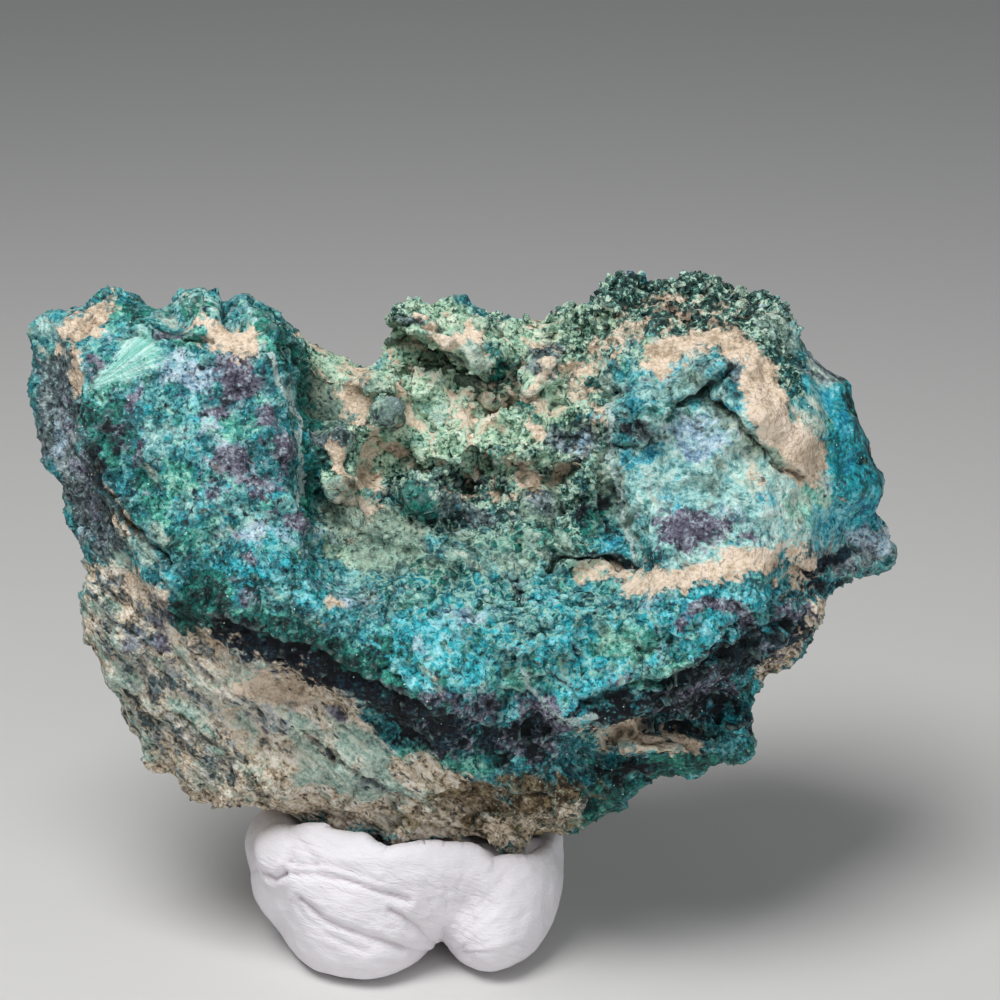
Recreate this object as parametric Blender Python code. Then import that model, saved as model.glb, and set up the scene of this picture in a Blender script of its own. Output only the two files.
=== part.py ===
"""Chrysocolla specimen: one stone, about 87 mm across, that stands in a lump of white display putty.

Frame: metres, +Z up, X across the stone's face, which looks towards -Y. The origin is the middle of the
putty's flat underside.

The stone is shaped in its own face frame, in millimetres: x to the right across the face, z up the face and
h out of it. The plane h = 0 runs through the stone's outline. That frame leans back in the putty by LEAN.
"""

import math
from collections import namedtuple

import bmesh
import bpy
import numpy as np
from mathutils import Matrix, Vector, noise

MM = 0.001

# How the stone sits in the putty: the place of its face frame's origin, and how far its top leans back.
LEAN = math.radians(18.0)
FACE_ORIGIN = Vector((5.5, 2.5, 40.0)) * MM

# How fine the meshes are: the subdivisions of balls, the voxels in millimetres and the triangles left.
BALL_LEVEL = 6
LUMP_LEVEL = 4
STONE_VOXEL = 0.75
STONE_TRIANGLES = 8300
PUTTY_VOXEL = 1.2
PUTTY_TRIANGLES = 900

# The gap between the stone and the putty that it is pressed into, in millimetres.
SEAT_GAP = 0.35

# How square the stone's sides are, seen along the face: 2 is an ellipse and more is squarer.
FRONT_SQUARENESS = 4.0
BACK_SQUARENESS = 2.6

# The stone's outline across the face, clockwise from its upper left corner: (x, z).
OUTLINE = [
    (-43.8, 22.4), (-43.0, 24.4), (-37.0, 24.6), (-34.8, 25.6), (-32.5, 25.2), (-30.0, 24.1), (-27.0, 26.4),
    (-24.7, 26.1), (-22.8, 23.9), (-20.8, 24.9), (-17.6, 23.6), (-15.4, 20.9), (-11.0, 19.5), (-8.8, 18.8),
    (-7.4, 21.5), (-4.0, 23.0), (1.0, 24.2), (5.0, 23.6), (9.0, 23.3), (13.0, 24.9), (15.0, 26.2),
    (17.0, 26.8), (20.5, 27.1), (24.0, 27.6), (28.5, 25.5), (31.5, 25.9), (34.0, 24.2), (34.4, 20.4),
    (36.6, 18.2), (38.6, 15.0), (40.4, 11.5), (42.2, 6.0), (42.0, 3.5), (42.4, 1.0), (41.4, -1.4),
    (38.0, -3.0), (36.8, -4.2), (36.2, -6.5), (34.5, -9.8), (31.5, -11.8), (29.7, -14.0), (29.0, -16.0),
    (29.6, -19.0), (27.5, -21.0), (24.0, -22.2), (19.5, -23.2), (18.0, -25.0), (14.0, -27.6), (10.0, -29.5),
    (6.0, -30.4), (-1.0, -30.4), (-8.0, -30.0), (-16.0, -29.2), (-21.0, -27.6), (-25.5, -25.6),
    (-28.5, -23.8), (-32.0, -20.2), (-34.8, -15.5), (-36.5, -11.5), (-37.2, -8.0), (-38.3, -5.8),
    (-37.4, -2.0), (-38.0, 2.0), (-40.2, 5.7), (-42.2, 8.2), (-43.0, 14.0), (-43.1, 18.0),
]

# Where the outline itself stands in front of the plane h = 0, or behind it: (x, z, h).
RIM_HEIGHTS = [
    (-42.0, 23.0, 2.0), (-26.0, 25.0, 2.0), (-16.0, 21.0, -2.0), (-9.0, 19.0, -6.0), (2.0, 24.0, -4.5),
    (16.0, 27.0, -4.0), (30.0, 25.0, -3.0), (41.0, 12.0, -4.0), (42.0, 0.0, -5.0), (35.0, -9.0, -1.0),
    (28.0, -19.0, -1.0), (14.0, -27.0, -4.0), (-5.0, -30.0, -3.0), (-28.0, -24.0, -3.0), (-37.0, -8.0, 0.0),
    (-43.0, 12.0, -2.0),
]

# How far across the face one given height, and one given rim height or back depth, is felt, in millimetres.
FACE_BLUR = 2.6
RIM_BLUR = 6.0

# How far the face stands out, by part of the stone: (x, z, h).
FACE_HEIGHTS = {
    "left side": [(-40.0, 15.0, 7.0), (-39.5, 8.0, 8.0), (-35.0, -5.0, 11.5), (-35.0, -13.0, 8.5)],
    "left block": [
        (-38.0, 21.5, 9.0), (-35.0, 19.0, 13.5), (-30.0, 19.0, 14.5), (-22.0, 20.0, 14.5), (-17.0, 19.0, 14.5),
        (-34.0, 11.0, 14.5), (-24.0, 10.0, 16.5), (-17.5, 10.0, 17.5), (-31.0, 3.0, 15.5), (-26.0, 1.0, 17.5),
        (-18.0, -1.0, 18.5), (-22.0, -5.0, 18.0),
    ],
    "hollow": [
        (-13.0, 17.0, 6.5), (-12.5, 12.0, 8.0), (-12.0, 6.0, 9.0), (-8.5, 16.0, 3.5), (-4.0, 15.0, 3.5),
        (-3.0, 20.5, 1.0), (3.0, 20.0, 2.5), (4.0, 15.0, 5.0), (9.0, 19.0, 3.5), (9.5, 14.5, 6.5),
        (14.0, 20.0, 6.0), (-6.0, 10.5, 6.5), (1.5, 10.5, 8.5), (8.0, 10.0, 9.0), (-6.0, 4.5, 8.0),
        (2.0, 5.0, 7.0), (9.0, 5.0, 8.5), (14.0, 9.0, 9.0), (-11.0, 1.0, 13.5), (-5.0, 1.5, 12.0),
        (-1.0, -1.0, 14.5), (8.0, 0.5, 12.0), (13.5, 2.5, 11.5),
    ],
    "right block": [
        (18.0, 21.0, 11.0), (24.0, 24.0, 10.0), (30.0, 22.0, 11.5), (19.0, 13.0, 14.0), (27.0, 11.0, 15.5),
        (33.0, 13.0, 14.5), (38.0, 9.0, 10.5), (24.0, 1.0, 15.0), (32.0, 2.0, 14.5), (39.0, 0.0, 5.0),
    ],
    "blue band": [
        (-16.0, -6.0, 18.0), (-10.0, -6.0, 18.5), (-1.0, -7.0, 19.8), (10.0, -7.5, 20.5), (20.0, -6.5, 20.0),
        (28.0, -6.0, 18.0), (34.0, -5.0, 12.5), (-2.0, -13.0, 18.8), (10.0, -13.5, 18.5), (19.0, -12.5, 17.5),
        (29.0, -10.5, 12.0),
    ],
    "lower face": [
        (-28.0, -6.0, 14.5), (-22.0, -10.0, 15.0), (-13.0, -14.0, 15.0), (-4.0, -18.0, 14.5),
        (6.0, -20.0, 12.5), (14.0, -21.0, 9.0), (23.0, -18.0, 9.0), (-30.0, -15.0, 10.5),
        (-24.0, -19.0, 10.5), (-16.0, -21.0, 11.0), (-6.0, -23.0, 10.5), (-16.0, -26.0, 7.0),
        (2.0, -25.0, 9.0), (10.0, -25.5, 6.5),
    ],
}

# How far the broken back stands behind the plane h = 0: (x, z, depth).
BACK_DEPTHS = [
    (-37.0, 14.0, 12.0), (-27.0, 15.0, 18.0), (-26.0, 0.0, 21.0), (-30.0, -14.0, 14.0), (-14.0, -16.0, 21.0),
    (-10.0, 8.0, 18.0), (0.0, 18.0, 13.0), (4.0, -4.0, 25.0), (16.0, 14.0, 20.0), (30.0, 14.0, 17.0),
    (28.0, -4.0, 19.0), (22.0, -16.0, 15.0), (6.0, -24.0, 15.0), (39.0, 3.0, 9.0),
]

# Ledges: along the points (x, z) the side to the left of the way they run stands out by rise.
Ledge = namedtuple("Ledge", "name points rise softness reach")
LEDGES = [
    Ledge("left block edge", [(-15.8, 21.5), (-15.0, 14.0), (-14.8, 6.0), (-13.6, 1.0)], -5.5, 0.6, 5.0),
    Ledge("right block edge", [(15.0, 15.5), (15.8, 8.0), (17.2, 1.0), (17.8, -1.5)], 3.8, 0.6, 4.5),
    Ledge("roof of the right block", [(20.6, 12.8), (24.0, 15.6), (27.5, 17.4), (31.0, 16.6)], 1.8, 0.5, 4.0),
    Ledge("sloping shelf", [(24.5, 15.2), (28.5, 12.0), (33.0, 8.2), (35.0, 6.6)], 1.9, 0.6, 4.5),
    Ledge("lip of the band", [(9.0, -3.0), (13.0, -1.0), (17.5, -1.6)], 1.6, 0.5, 3.0),
    Ledge("upper dark shelf", [(14.0, -17.5), (22.0, -15.0), (29.0, -11.0), (35.0, -7.0)], 3.0, 0.5, 4.0),
    Ledge("left block's side", [(-40.0, 20.0), (-36.6, 9.5), (-34.0, 2.0), (-28.5, -5.5)], 2.6, 0.6, 4.0),
    Ledge("left block's belly", [(-28.5, -5.5), (-21.0, -10.5), (-13.0, -13.5), (-5.0, -16.5)], 3.2, 0.6, 4.5),
]

# Grooves cut into the face along the points (x, z), and ridges where the depth is negative.
Groove = namedtuple("Groove", "name points depth half_width")
GROOVES = [
    Groove("left block's shadow", [(-27.0, -7.0), (-20.0, -11.0), (-12.0, -14.5), (-5.0, -17.5)], 1.4, 1.3),
    Groove("band's shadow", [(12.0, -19.4), (21.0, -17.4), (28.0, -13.8), (33.0, -10.4)], 3.2, 1.5),
    Groove("slit over the band", [(8.0, -1.8), (12.0, -0.7), (17.0, -1.2)], 2.8, 0.8),
    Groove("left cave of the hollow", [(-6.0, 7.0), (-2.5, 6.4), (0.5, 6.8)], 4.0, 1.3),
    Groove("right cave of the hollow", [(1.5, 7.4), (5.0, 6.8), (9.0, 8.2)], 3.4, 1.2),
    Groove("gap under the curl", [(-7.5, 16.6), (-4.0, 18.2), (0.0, 18.6)], 3.0, 1.2),
    Groove("deep hole", [(2.6, 15.6), (6.4, 15.4)], 3.5, 1.0),
    Groove("gap beside the block", [(-13.4, 14.5), (-12.4, 8.0), (-11.8, 3.5)], 1.8, 1.2),
    Groove("brow over the caves", [(-6.0, 9.4), (-1.0, 9.2), (5.0, 9.6), (10.0, 11.2)], -1.6, 1.3),
    Groove("upper crease below", [(-33.0, -15.0), (-29.0, -19.5), (-23.0, -23.0)], 1.0, 1.0),
    Groove("lower crease below", [(-23.0, -17.5), (-17.0, -20.5), (-10.0, -24.0), (-4.0, -26.5)], 1.1, 1.1),
    Groove("edge over the dirt", [(0.0, -22.5), (7.0, -21.6), (13.0, -19.0)], -1.5, 1.4),
    Groove("left rib", [(-41.0, 4.5), (-37.0, -2.0), (-33.0, -9.0)], -1.1, 1.3),
]

# The rough surface, in millimetres: how high its swells are, and cell sizes with heights for the rest.
SWELLS = 0.7
CRAGS = [(8.5, 3.2), (3.6, 1.5)]
GRAINS = (2.7, 1.5)
CRUST = (3.4, 1.3)
STREAKS = (9.0, 1.1)
STREAK_ANGLE = math.radians(-38.0)

# Where it is grainy, crusty or streaky: middles and half sizes across the face (x, z, half x, half z).
TEXTURED = {
    "grainy": [(0.0, 11.0, 14.0, 10.0), (4.0, -7.0, 17.0, 4.0)],
    "crusty": [(24.0, 24.0, 12.0, 6.0), (10.0, 20.0, 6.0, 5.0)],
    "streaky": [(-22.0, -19.0, 16.0, 7.0), (-37.0, 2.0, 4.5, 14.0)],
}

# Lumps that stand proud of the face: their middle (x, h, z), half sizes (x, h, z) and roll in the face.
Lump = namedtuple("Lump", "name middle half_sizes roll_deg")
LUMPS = [
    Lump("left crest", (-34.8, 3.5, 23.2), (4.2, 4.0, 2.2), 12),
    Lump("middle crest", (-26.0, 1.5, 23.9), (3.4, 4.2, 2.5), 0),
    Lump("right crest", (-19.6, 2.0, 22.6), (3.6, 4.0, 2.4), -20),
    Lump("upper roll of the curl", (-3.9, 3.4, 22.6), (4.2, 4.2, 2.0), -16),
    Lump("lower roll of the curl", (-2.4, 4.6, 20.6), (4.2, 4.4, 1.3), -24),
    Lump("fan of the curl", (1.9, 3.6, 20.6), (3.6, 4.4, 3.0), 0),
    Lump("cap of the curl", (1.6, -0.5, 23.6), (3.9, 4.5, 1.9), -28),
    Lump("dark nodule", (-7.6, 6.0, 11.6), (3.0, 3.6, 3.0), 0),
    Lump("grey nodule", (-11.9, 8.6, 10.4), (3.0, 3.0, 3.1), 0),
    Lump("small nodule", (-11.0, 9.6, 6.6), (1.8, 2.2, 1.7), 0),
    Lump("low nodule", (-3.8, 9.8, 4.9), (2.5, 2.4, 1.9), 0),
    Lump("green nodule", (-8.2, 4.6, 17.2), (2.2, 3.0, 1.9), 0),
    Lump("right nodule", (8.6, 5.0, 17.4), (2.6, 2.8, 2.0), 12),
    Lump("seam nodule", (12.4, 8.4, 13.4), (2.4, 2.8, 2.4), 0),
    Lump("wall nodule", (12.9, 9.6, 7.6), (2.0, 2.4, 2.8), 8),
    Lump("right dome", (36.2, 1.0, 14.6), (3.2, 5.0, 4.2), 25),
    Lump("lower right dome", (40.4, 0.5, 7.6), (2.4, 4.4, 4.2), 0),
    Lump("end knob", (40.6, -3.4, 0.2), (3.9, 4.2, 3.2), -12),
    Lump("crest spike", (24.2, -1.0, 26.9), (1.5, 1.5, 1.5), 0),
    Lump("underside shelf", (22.5, 3.5, -20.3), (7.2, 5.5, 1.9), 6),
    Lump("shelf lip", (19.0, 9.0, -19.3), (3.8, 2.6, 1.2), 4),
    Lump("dirt knob", (9.5, 7.5, -24.2), (4.2, 3.0, 2.2), 20),
]

# How uneven each lump is, as a share of its size.
LUMP_UNEVENNESS = 0.3

# The putty's lumps in the world frame, in millimetres: middle, half sizes.
PUTTY_LUMPS = {
    "left lobe": ((-5.4, -1.0, 6.6), (10.0, 13.4, 9.2)),
    "right lobe": ((8.9, -1.0, 7.0), (6.8, 12.7, 8.4)),
    "foot": ((0.5, 2.5, 3.6), (11.5, 9.0, 5.5)),
    "front collar": ((-1.5, -8.2, 10.4), (12.8, 6.0, 5.8)),
    "back collar": ((0.5, 8.0, 7.0), (13.2, 7.5, 6.6)),
}
REST_CUTTER = (60.0, 60.0, 20.0)

STONE_COLOUR = (0.13, 0.42, 0.42, 1.0)
STONE_ROUGHNESS = 0.6
PUTTY_COLOUR = (0.82, 0.81, 0.82, 1.0)
PUTTY_ROUGHNESS = 0.75


def clear_scene():
    for obj in list(bpy.data.objects):
        bpy.data.objects.remove(obj, do_unlink=True)


def face_to_world():
    """The matrix that takes a point (x, h, z) of the face frame, in millimetres, to the world."""
    out = Vector((0.0, -math.cos(LEAN), math.sin(LEAN)))
    up = Vector((0.0, math.sin(LEAN), math.cos(LEAN)))
    turn = Matrix((Vector((1.0, 0.0, 0.0)), out, up)).transposed()
    return Matrix.Translation(FACE_ORIGIN) @ turn.to_4x4() @ Matrix.Diagonal((MM, MM, MM, 1.0))


def outline_radius(angle):
    """The outline's distance from the middle of the face, for each angle round it."""
    points = np.array(OUTLINE)
    turns = np.arctan2(points[:, 1], points[:, 0])
    order = np.argsort(turns)
    points, turns = points[order], turns[order]
    after = np.searchsorted(turns, angle) % len(points)
    start, end = points[after - 1], points[after]
    side = end - start
    crossing = start[:, 0] * side[:, 1] - start[:, 1] * side[:, 0]
    return crossing / (np.cos(angle) * side[:, 1] - np.sin(angle) * side[:, 0])


def blended(samples, x, z, blur):
    """A smooth surface through the samples (x, z, value), each weighing more the nearer it is."""
    samples = np.array(samples)
    squares = (x[:, None] - samples[:, 0]) ** 2 + (z[:, None] - samples[:, 1]) ** 2
    weights = 1.0 / (squares + blur**2) ** 2
    return weights @ samples[:, 2] / weights.sum(axis=1)


def near_line(points, x, z):
    """The distance to a line through the points, and which side of it each place is on: 1 on its left."""
    points = np.array(points)
    least = np.full(len(x), np.inf)
    side = np.ones(len(x))
    for start, end in zip(points[:-1], points[1:]):
        run = end - start
        along = np.clip(((x - start[0]) * run[0] + (z - start[1]) * run[1]) / (run @ run), 0.0, 1.0)
        away = np.hypot(x - start[0] - along * run[0], z - start[1] - along * run[1])
        left = np.sign(run[0] * (z - start[1]) - run[1] * (x - start[0]))
        side = np.where(away < least, left, side)
        least = np.minimum(away, least)
    return least, side


def bell(distance, half_width):
    return np.exp(-((distance / half_width) ** 2))


def face_height(x, z):
    """How far the face stands in front of h = 0, with its ledges and grooves."""
    samples = [sample for part in FACE_HEIGHTS.values() for sample in part]
    height = blended(samples, x, z, FACE_BLUR)
    for ledge in LEDGES:
        away, side = near_line(ledge.points, x, z)
        height += 0.5 * ledge.rise * np.tanh(side * away / ledge.softness) * bell(away, ledge.reach)
    for groove in GROOVES:
        away, _ = near_line(groove.points, x, z)
        height -= groove.depth * bell(away, groove.half_width)
    return height


def crag(point, cell, size):
    """Broken rock: each cell of the stone is a flat facet with its own tilt, so cells meet in small steps."""
    _, nearest = noise.voronoi(point / cell)
    tilt = noise.cell_vector(nearest[0] * 7.3) - Vector((0.5, 0.5, 0.5))
    return size * tilt.dot(point / cell - nearest[0])


def grains(point, cell):
    """Round grains packed together: 1 at each one's middle and 0 in the gaps between them."""
    distances, _ = noise.voronoi(point / cell)
    return max(0.0, 1.0 - (distances[0] / 0.62) ** 2)


def crust(point, cell):
    """Sharp little ridges that run together, about 0 on average."""
    return noise.ridged_multi_fractal(point / cell, 1.0, 2.1, 3, 1.0, 2.0) - 1.15


def streaks(point, length):
    """Long low ribs that run down the face to the right."""
    turned = Matrix.Rotation(STREAK_ANGLE, 3, "Y") @ point
    stretched = Vector((turned.x, 3.0 * turned.y, 4.5 * turned.z)) / length
    return noise.fractal(stretched, 1.0, 2.0, 3)


def shares_of_texture(point):
    """How much of each texture the stone has at a place: 0 to 1 each."""
    shares = {}
    for kind, patches in TEXTURED.items():
        away = min(math.hypot((point.x - x) / wide, (point.z - z) / tall) for x, z, wide, tall in patches)
        shares[kind] = min(1.0, max(0.0, 2.5 - 2.0 * away**2))
    return shares


def roughness(point):
    """How far the rough surface stands off the smooth shape at a place, in millimetres."""
    share = shares_of_texture(point)
    height = SWELLS * noise.fractal(point / 6.0, 1.0, 2.1, 4)
    height += sum(crag(point, cell, size) for cell, size in CRAGS)
    height += share["grainy"] * GRAINS[1] * (grains(point, GRAINS[0]) - 0.45)
    height += share["crusty"] * CRUST[1] * crust(point, CRUST[0])
    height += share["streaky"] * STREAKS[1] * streaks(point, STREAKS[0])
    return height


def mesh_of(shape, name):
    """The shape as a mesh; the shape itself is let go."""
    mesh = bpy.data.meshes.new(name)
    shape.to_mesh(mesh)
    shape.free()
    return mesh


def new_object(name, mesh, colour, roughness_value):
    obj = bpy.data.objects.new(name, mesh)
    bpy.context.scene.collection.objects.link(obj)
    material = bpy.data.materials.new(name)
    material.use_nodes = True
    shader = material.node_tree.nodes["Principled BSDF"]
    shader.inputs["Base Color"].default_value = colour
    shader.inputs["Roughness"].default_value = roughness_value
    mesh.materials.append(material)
    return obj


def new_cutter(name, mesh):
    cutter = bpy.data.objects.new(name, mesh)
    bpy.context.scene.collection.objects.link(cutter)
    cutter.hide_render = True
    cutter.display_type = "WIRE"
    return cutter


def shape_body(shape):
    """Bends a unit sphere into the stone: its outline, its relief in front and its broken back."""
    places = np.array([vertex.co for vertex in shape.verts])
    reach = np.minimum(np.hypot(places[:, 0], places[:, 2]), 1.0)
    angle = np.arctan2(places[:, 2], places[:, 0])
    radius = outline_radius(angle) * reach
    x, z = radius * np.cos(angle), radius * np.sin(angle)
    rim = blended(RIM_HEIGHTS, x, z, RIM_BLUR)
    front = (1.0 - reach**FRONT_SQUARENESS) ** (1.0 / FRONT_SQUARENESS)
    back = (1.0 - reach**BACK_SQUARENESS) ** (1.0 / BACK_SQUARENESS)
    ahead = rim + (face_height(x, z) - rim) * front
    behind = rim - (blended(BACK_DEPTHS, x, z, RIM_BLUR) + rim) * back
    h = np.where(places[:, 1] < 0.0, ahead, behind)
    for vertex, place in zip(shape.verts, zip(x, h, z)):
        vertex.co = place


def roughen(shape):
    shape.normal_update()
    moves = [vertex.normal * roughness(vertex.co) for vertex in shape.verts]
    for vertex, move in zip(shape.verts, moves):
        vertex.co += move


def add_lump(shape, lump):
    """Adds one lump to the mesh, as a rough ball of its own half sizes."""
    place = (
        Matrix.Translation(lump.middle)
        @ Matrix.Rotation(math.radians(-lump.roll_deg), 4, "Y")
        @ Matrix.Diagonal((*lump.half_sizes, 1.0))
    )
    made = bmesh.ops.create_icosphere(shape, subdivisions=LUMP_LEVEL, radius=1.0, matrix=place)
    middle = Vector(lump.middle)
    for vertex in made["verts"]:
        vertex.co += (vertex.co - middle) * LUMP_UNEVENNESS * noise.fractal(vertex.co / 2.0, 1.0, 2.0, 3)


def join_by_voxels(obj, voxel):
    """Joins the overlapping shapes of one object into a single closed skin."""
    remesh = obj.modifiers.new("One skin", "REMESH")
    remesh.mode = "VOXEL"
    remesh.voxel_size = voxel


def applied(obj):
    """The object's mesh with its modifiers worked in."""
    bpy.context.view_layer.update()
    graph = bpy.context.evaluated_depsgraph_get()
    return bpy.data.meshes.new_from_object(obj.evaluated_get(graph))


def thin_out(obj, most):
    """Leaves about this many triangles, with the most where the surface bends most."""
    skin = applied(obj)
    skin.calc_loop_triangles()
    decimate = obj.modifiers.new("Fewer faces", "DECIMATE")
    decimate.ratio = most / len(skin.loop_triangles)
    bpy.data.meshes.remove(skin)


def make_stone():
    shape = bmesh.new()
    bmesh.ops.create_icosphere(shape, subdivisions=BALL_LEVEL, radius=1.0)
    shape_body(shape)
    # The ball's -y half is now its +h half, which turned the ball inside out.
    bmesh.ops.reverse_faces(shape, faces=shape.faces[:])
    roughen(shape)
    for lump in LUMPS:
        add_lump(shape, lump)
    shape.transform(face_to_world())
    bmesh.ops.recalc_face_normals(shape, faces=shape.faces[:])
    stone = new_object("chrysocolla_stone", mesh_of(shape, "chrysocolla_stone"), STONE_COLOUR, STONE_ROUGHNESS)
    join_by_voxels(stone, STONE_VOXEL * MM)
    thin_out(stone, STONE_TRIANGLES)
    return stone


def make_seat(stone):
    """A cutter: the finished stone, grown by the seat's gap."""
    seat = bmesh.new()
    seat.from_mesh(applied(stone))
    seat.normal_update()
    moves = [vertex.normal * SEAT_GAP * MM for vertex in seat.verts]
    for vertex, move in zip(seat.verts, moves):
        vertex.co += move
    return new_cutter("seat cutter", mesh_of(seat, "seat cutter"))


def make_rest_cutter():
    """A cutter: the block below the plane that the putty rests on."""
    block = bmesh.new()
    bmesh.ops.create_cube(block, size=1.0)
    bmesh.ops.scale(block, vec=Vector(REST_CUTTER) * MM, verts=block.verts)
    bmesh.ops.translate(block, vec=(0.0, 0.0, -REST_CUTTER[2] * MM / 2), verts=block.verts)
    return new_cutter("rest cutter", mesh_of(block, "rest cutter"))


def cut(obj, cutter):
    boolean = obj.modifiers.new(cutter.name, "BOOLEAN")
    boolean.operation = "DIFFERENCE"
    boolean.solver = "EXACT"
    boolean.object = cutter


def make_putty(stone):
    shape = bmesh.new()
    for middle, half_sizes in PUTTY_LUMPS.values():
        place = Matrix.Translation(Vector(middle) * MM) @ Matrix.Diagonal((*(Vector(half_sizes) * MM), 1.0))
        bmesh.ops.create_icosphere(shape, subdivisions=LUMP_LEVEL, radius=1.0, matrix=place)
    putty = new_object("display_putty", mesh_of(shape, "display_putty"), PUTTY_COLOUR, PUTTY_ROUGHNESS)
    join_by_voxels(putty, PUTTY_VOXEL * MM)
    thin_out(putty, PUTTY_TRIANGLES)
    cut(putty, make_seat(stone))
    cut(putty, make_rest_cutter())


def main():
    clear_scene()
    stone = make_stone()
    make_putty(stone)


main()
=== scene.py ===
"""Looks for a chrysocolla specimen: a rough copper mineral stone that stands in a lump of white putty.

The stone's features are placed in its face frame, in millimetres: x to the right across the face, z up the
face and h out of it. The frame leans back in the putty by LEAN, and its origin is FACE_ORIGIN.
"""

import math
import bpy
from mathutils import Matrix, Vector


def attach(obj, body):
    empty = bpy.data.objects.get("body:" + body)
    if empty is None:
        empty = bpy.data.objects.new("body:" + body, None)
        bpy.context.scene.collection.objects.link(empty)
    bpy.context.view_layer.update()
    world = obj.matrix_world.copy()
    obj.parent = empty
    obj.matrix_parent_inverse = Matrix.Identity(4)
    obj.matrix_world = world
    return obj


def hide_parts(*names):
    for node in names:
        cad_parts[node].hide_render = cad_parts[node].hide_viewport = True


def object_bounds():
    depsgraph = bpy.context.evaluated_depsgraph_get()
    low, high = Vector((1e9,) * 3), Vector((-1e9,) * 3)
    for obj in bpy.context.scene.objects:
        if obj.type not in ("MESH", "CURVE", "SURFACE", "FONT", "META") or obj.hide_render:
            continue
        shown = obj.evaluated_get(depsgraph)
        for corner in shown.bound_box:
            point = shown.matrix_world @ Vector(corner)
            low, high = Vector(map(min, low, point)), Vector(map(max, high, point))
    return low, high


bl_info = {
    "name": "Chrysocolla specimen",
    "version": (1, 0, 0),
    "blender": (4, 5, 0),
    "location": "View3D > Sidebar > Specimen",
    "description": "Builds the stone's mineral crusts and the putty it stands in",
    "category": "Add Mesh",
}

from collections import namedtuple

import bmesh
import bpy
import numpy as np
from bpy.props import FloatProperty, FloatVectorProperty, IntProperty, PointerProperty
from mathutils import Matrix, Vector, noise

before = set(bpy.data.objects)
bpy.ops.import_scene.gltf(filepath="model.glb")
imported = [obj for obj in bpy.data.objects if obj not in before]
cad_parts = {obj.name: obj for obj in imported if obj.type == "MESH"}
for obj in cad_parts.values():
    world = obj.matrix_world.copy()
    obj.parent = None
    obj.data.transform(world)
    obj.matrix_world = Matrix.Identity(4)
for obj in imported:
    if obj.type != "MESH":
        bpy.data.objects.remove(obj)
SOLID_BOX = [list(corner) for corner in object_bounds()]

STONE = "chrysocolla_stone"
PUTTY = "display_putty"
BODY = "root"

MM = 0.001
LEAN = math.radians(18.0)
FACE_ORIGIN = Vector((5.5, 2.5, 40.0)) * MM
OUT = Vector((0.0, -math.cos(LEAN), math.sin(LEAN)))
UP = Vector((0.0, math.sin(LEAN), math.cos(LEAN)))
RIGHT = Vector((1.0, 0.0, 0.0))
VIEW_MIDDLE = Vector((9.5, 4.0, 44.7)) * MM
VIEW_DISTANCE = 296.0 * MM

MOST_TRIANGLES = 200000
STONE_TRIANGLES = 192000

# The finer front: how far its faces have to face out, and how far behind the face's plane they may lie.
FRONT_FACING = 0.1
FRONT_FROM = -6.0 * MM

# How far the rough surfaces stay inside the solids' box, in millimetres. The stone leaves its grains room.
STONE_MARGIN = 0.60
PUTTY_MARGIN = 0.05

# How far a place lies in or out, in millimetres, to be wholly a hollow or an edge, where the painted shade
# in hollows and creases and the painted highlight on edges are full.
STONE_HOLLOW = 0.35
PUTTY_HOLLOW = 0.25

MINERAL_FINISH = "Copper minerals"

# Kinds of marks on the face. A patch is an oval: its middle, half sizes, turn in degrees and share. A vein
# is a line with a half width and a share. Cracks and ledges have a name, two measures and points (x, z).
Patch = namedtuple("Patch", "x z wide tall turn share", defaults=(0.0, 0.9))
Vein = namedtuple("Vein", "half_width points share", defaults=(0.9,))
Crack = namedtuple("Crack", "name depth half_width points")
Ledge = namedtuple("Ledge", "name height run points")


def rows_of(kind, *rows):
    """A list of one kind of mark, one for each row."""
    return [kind(*row) for row in rows]


def marks(*rows):
    """A vein from each row that holds a half width and points, and a patch from each other one."""
    return [Vein(*row) if isinstance(row[1], list) else Patch(*row) for row in rows]


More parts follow.
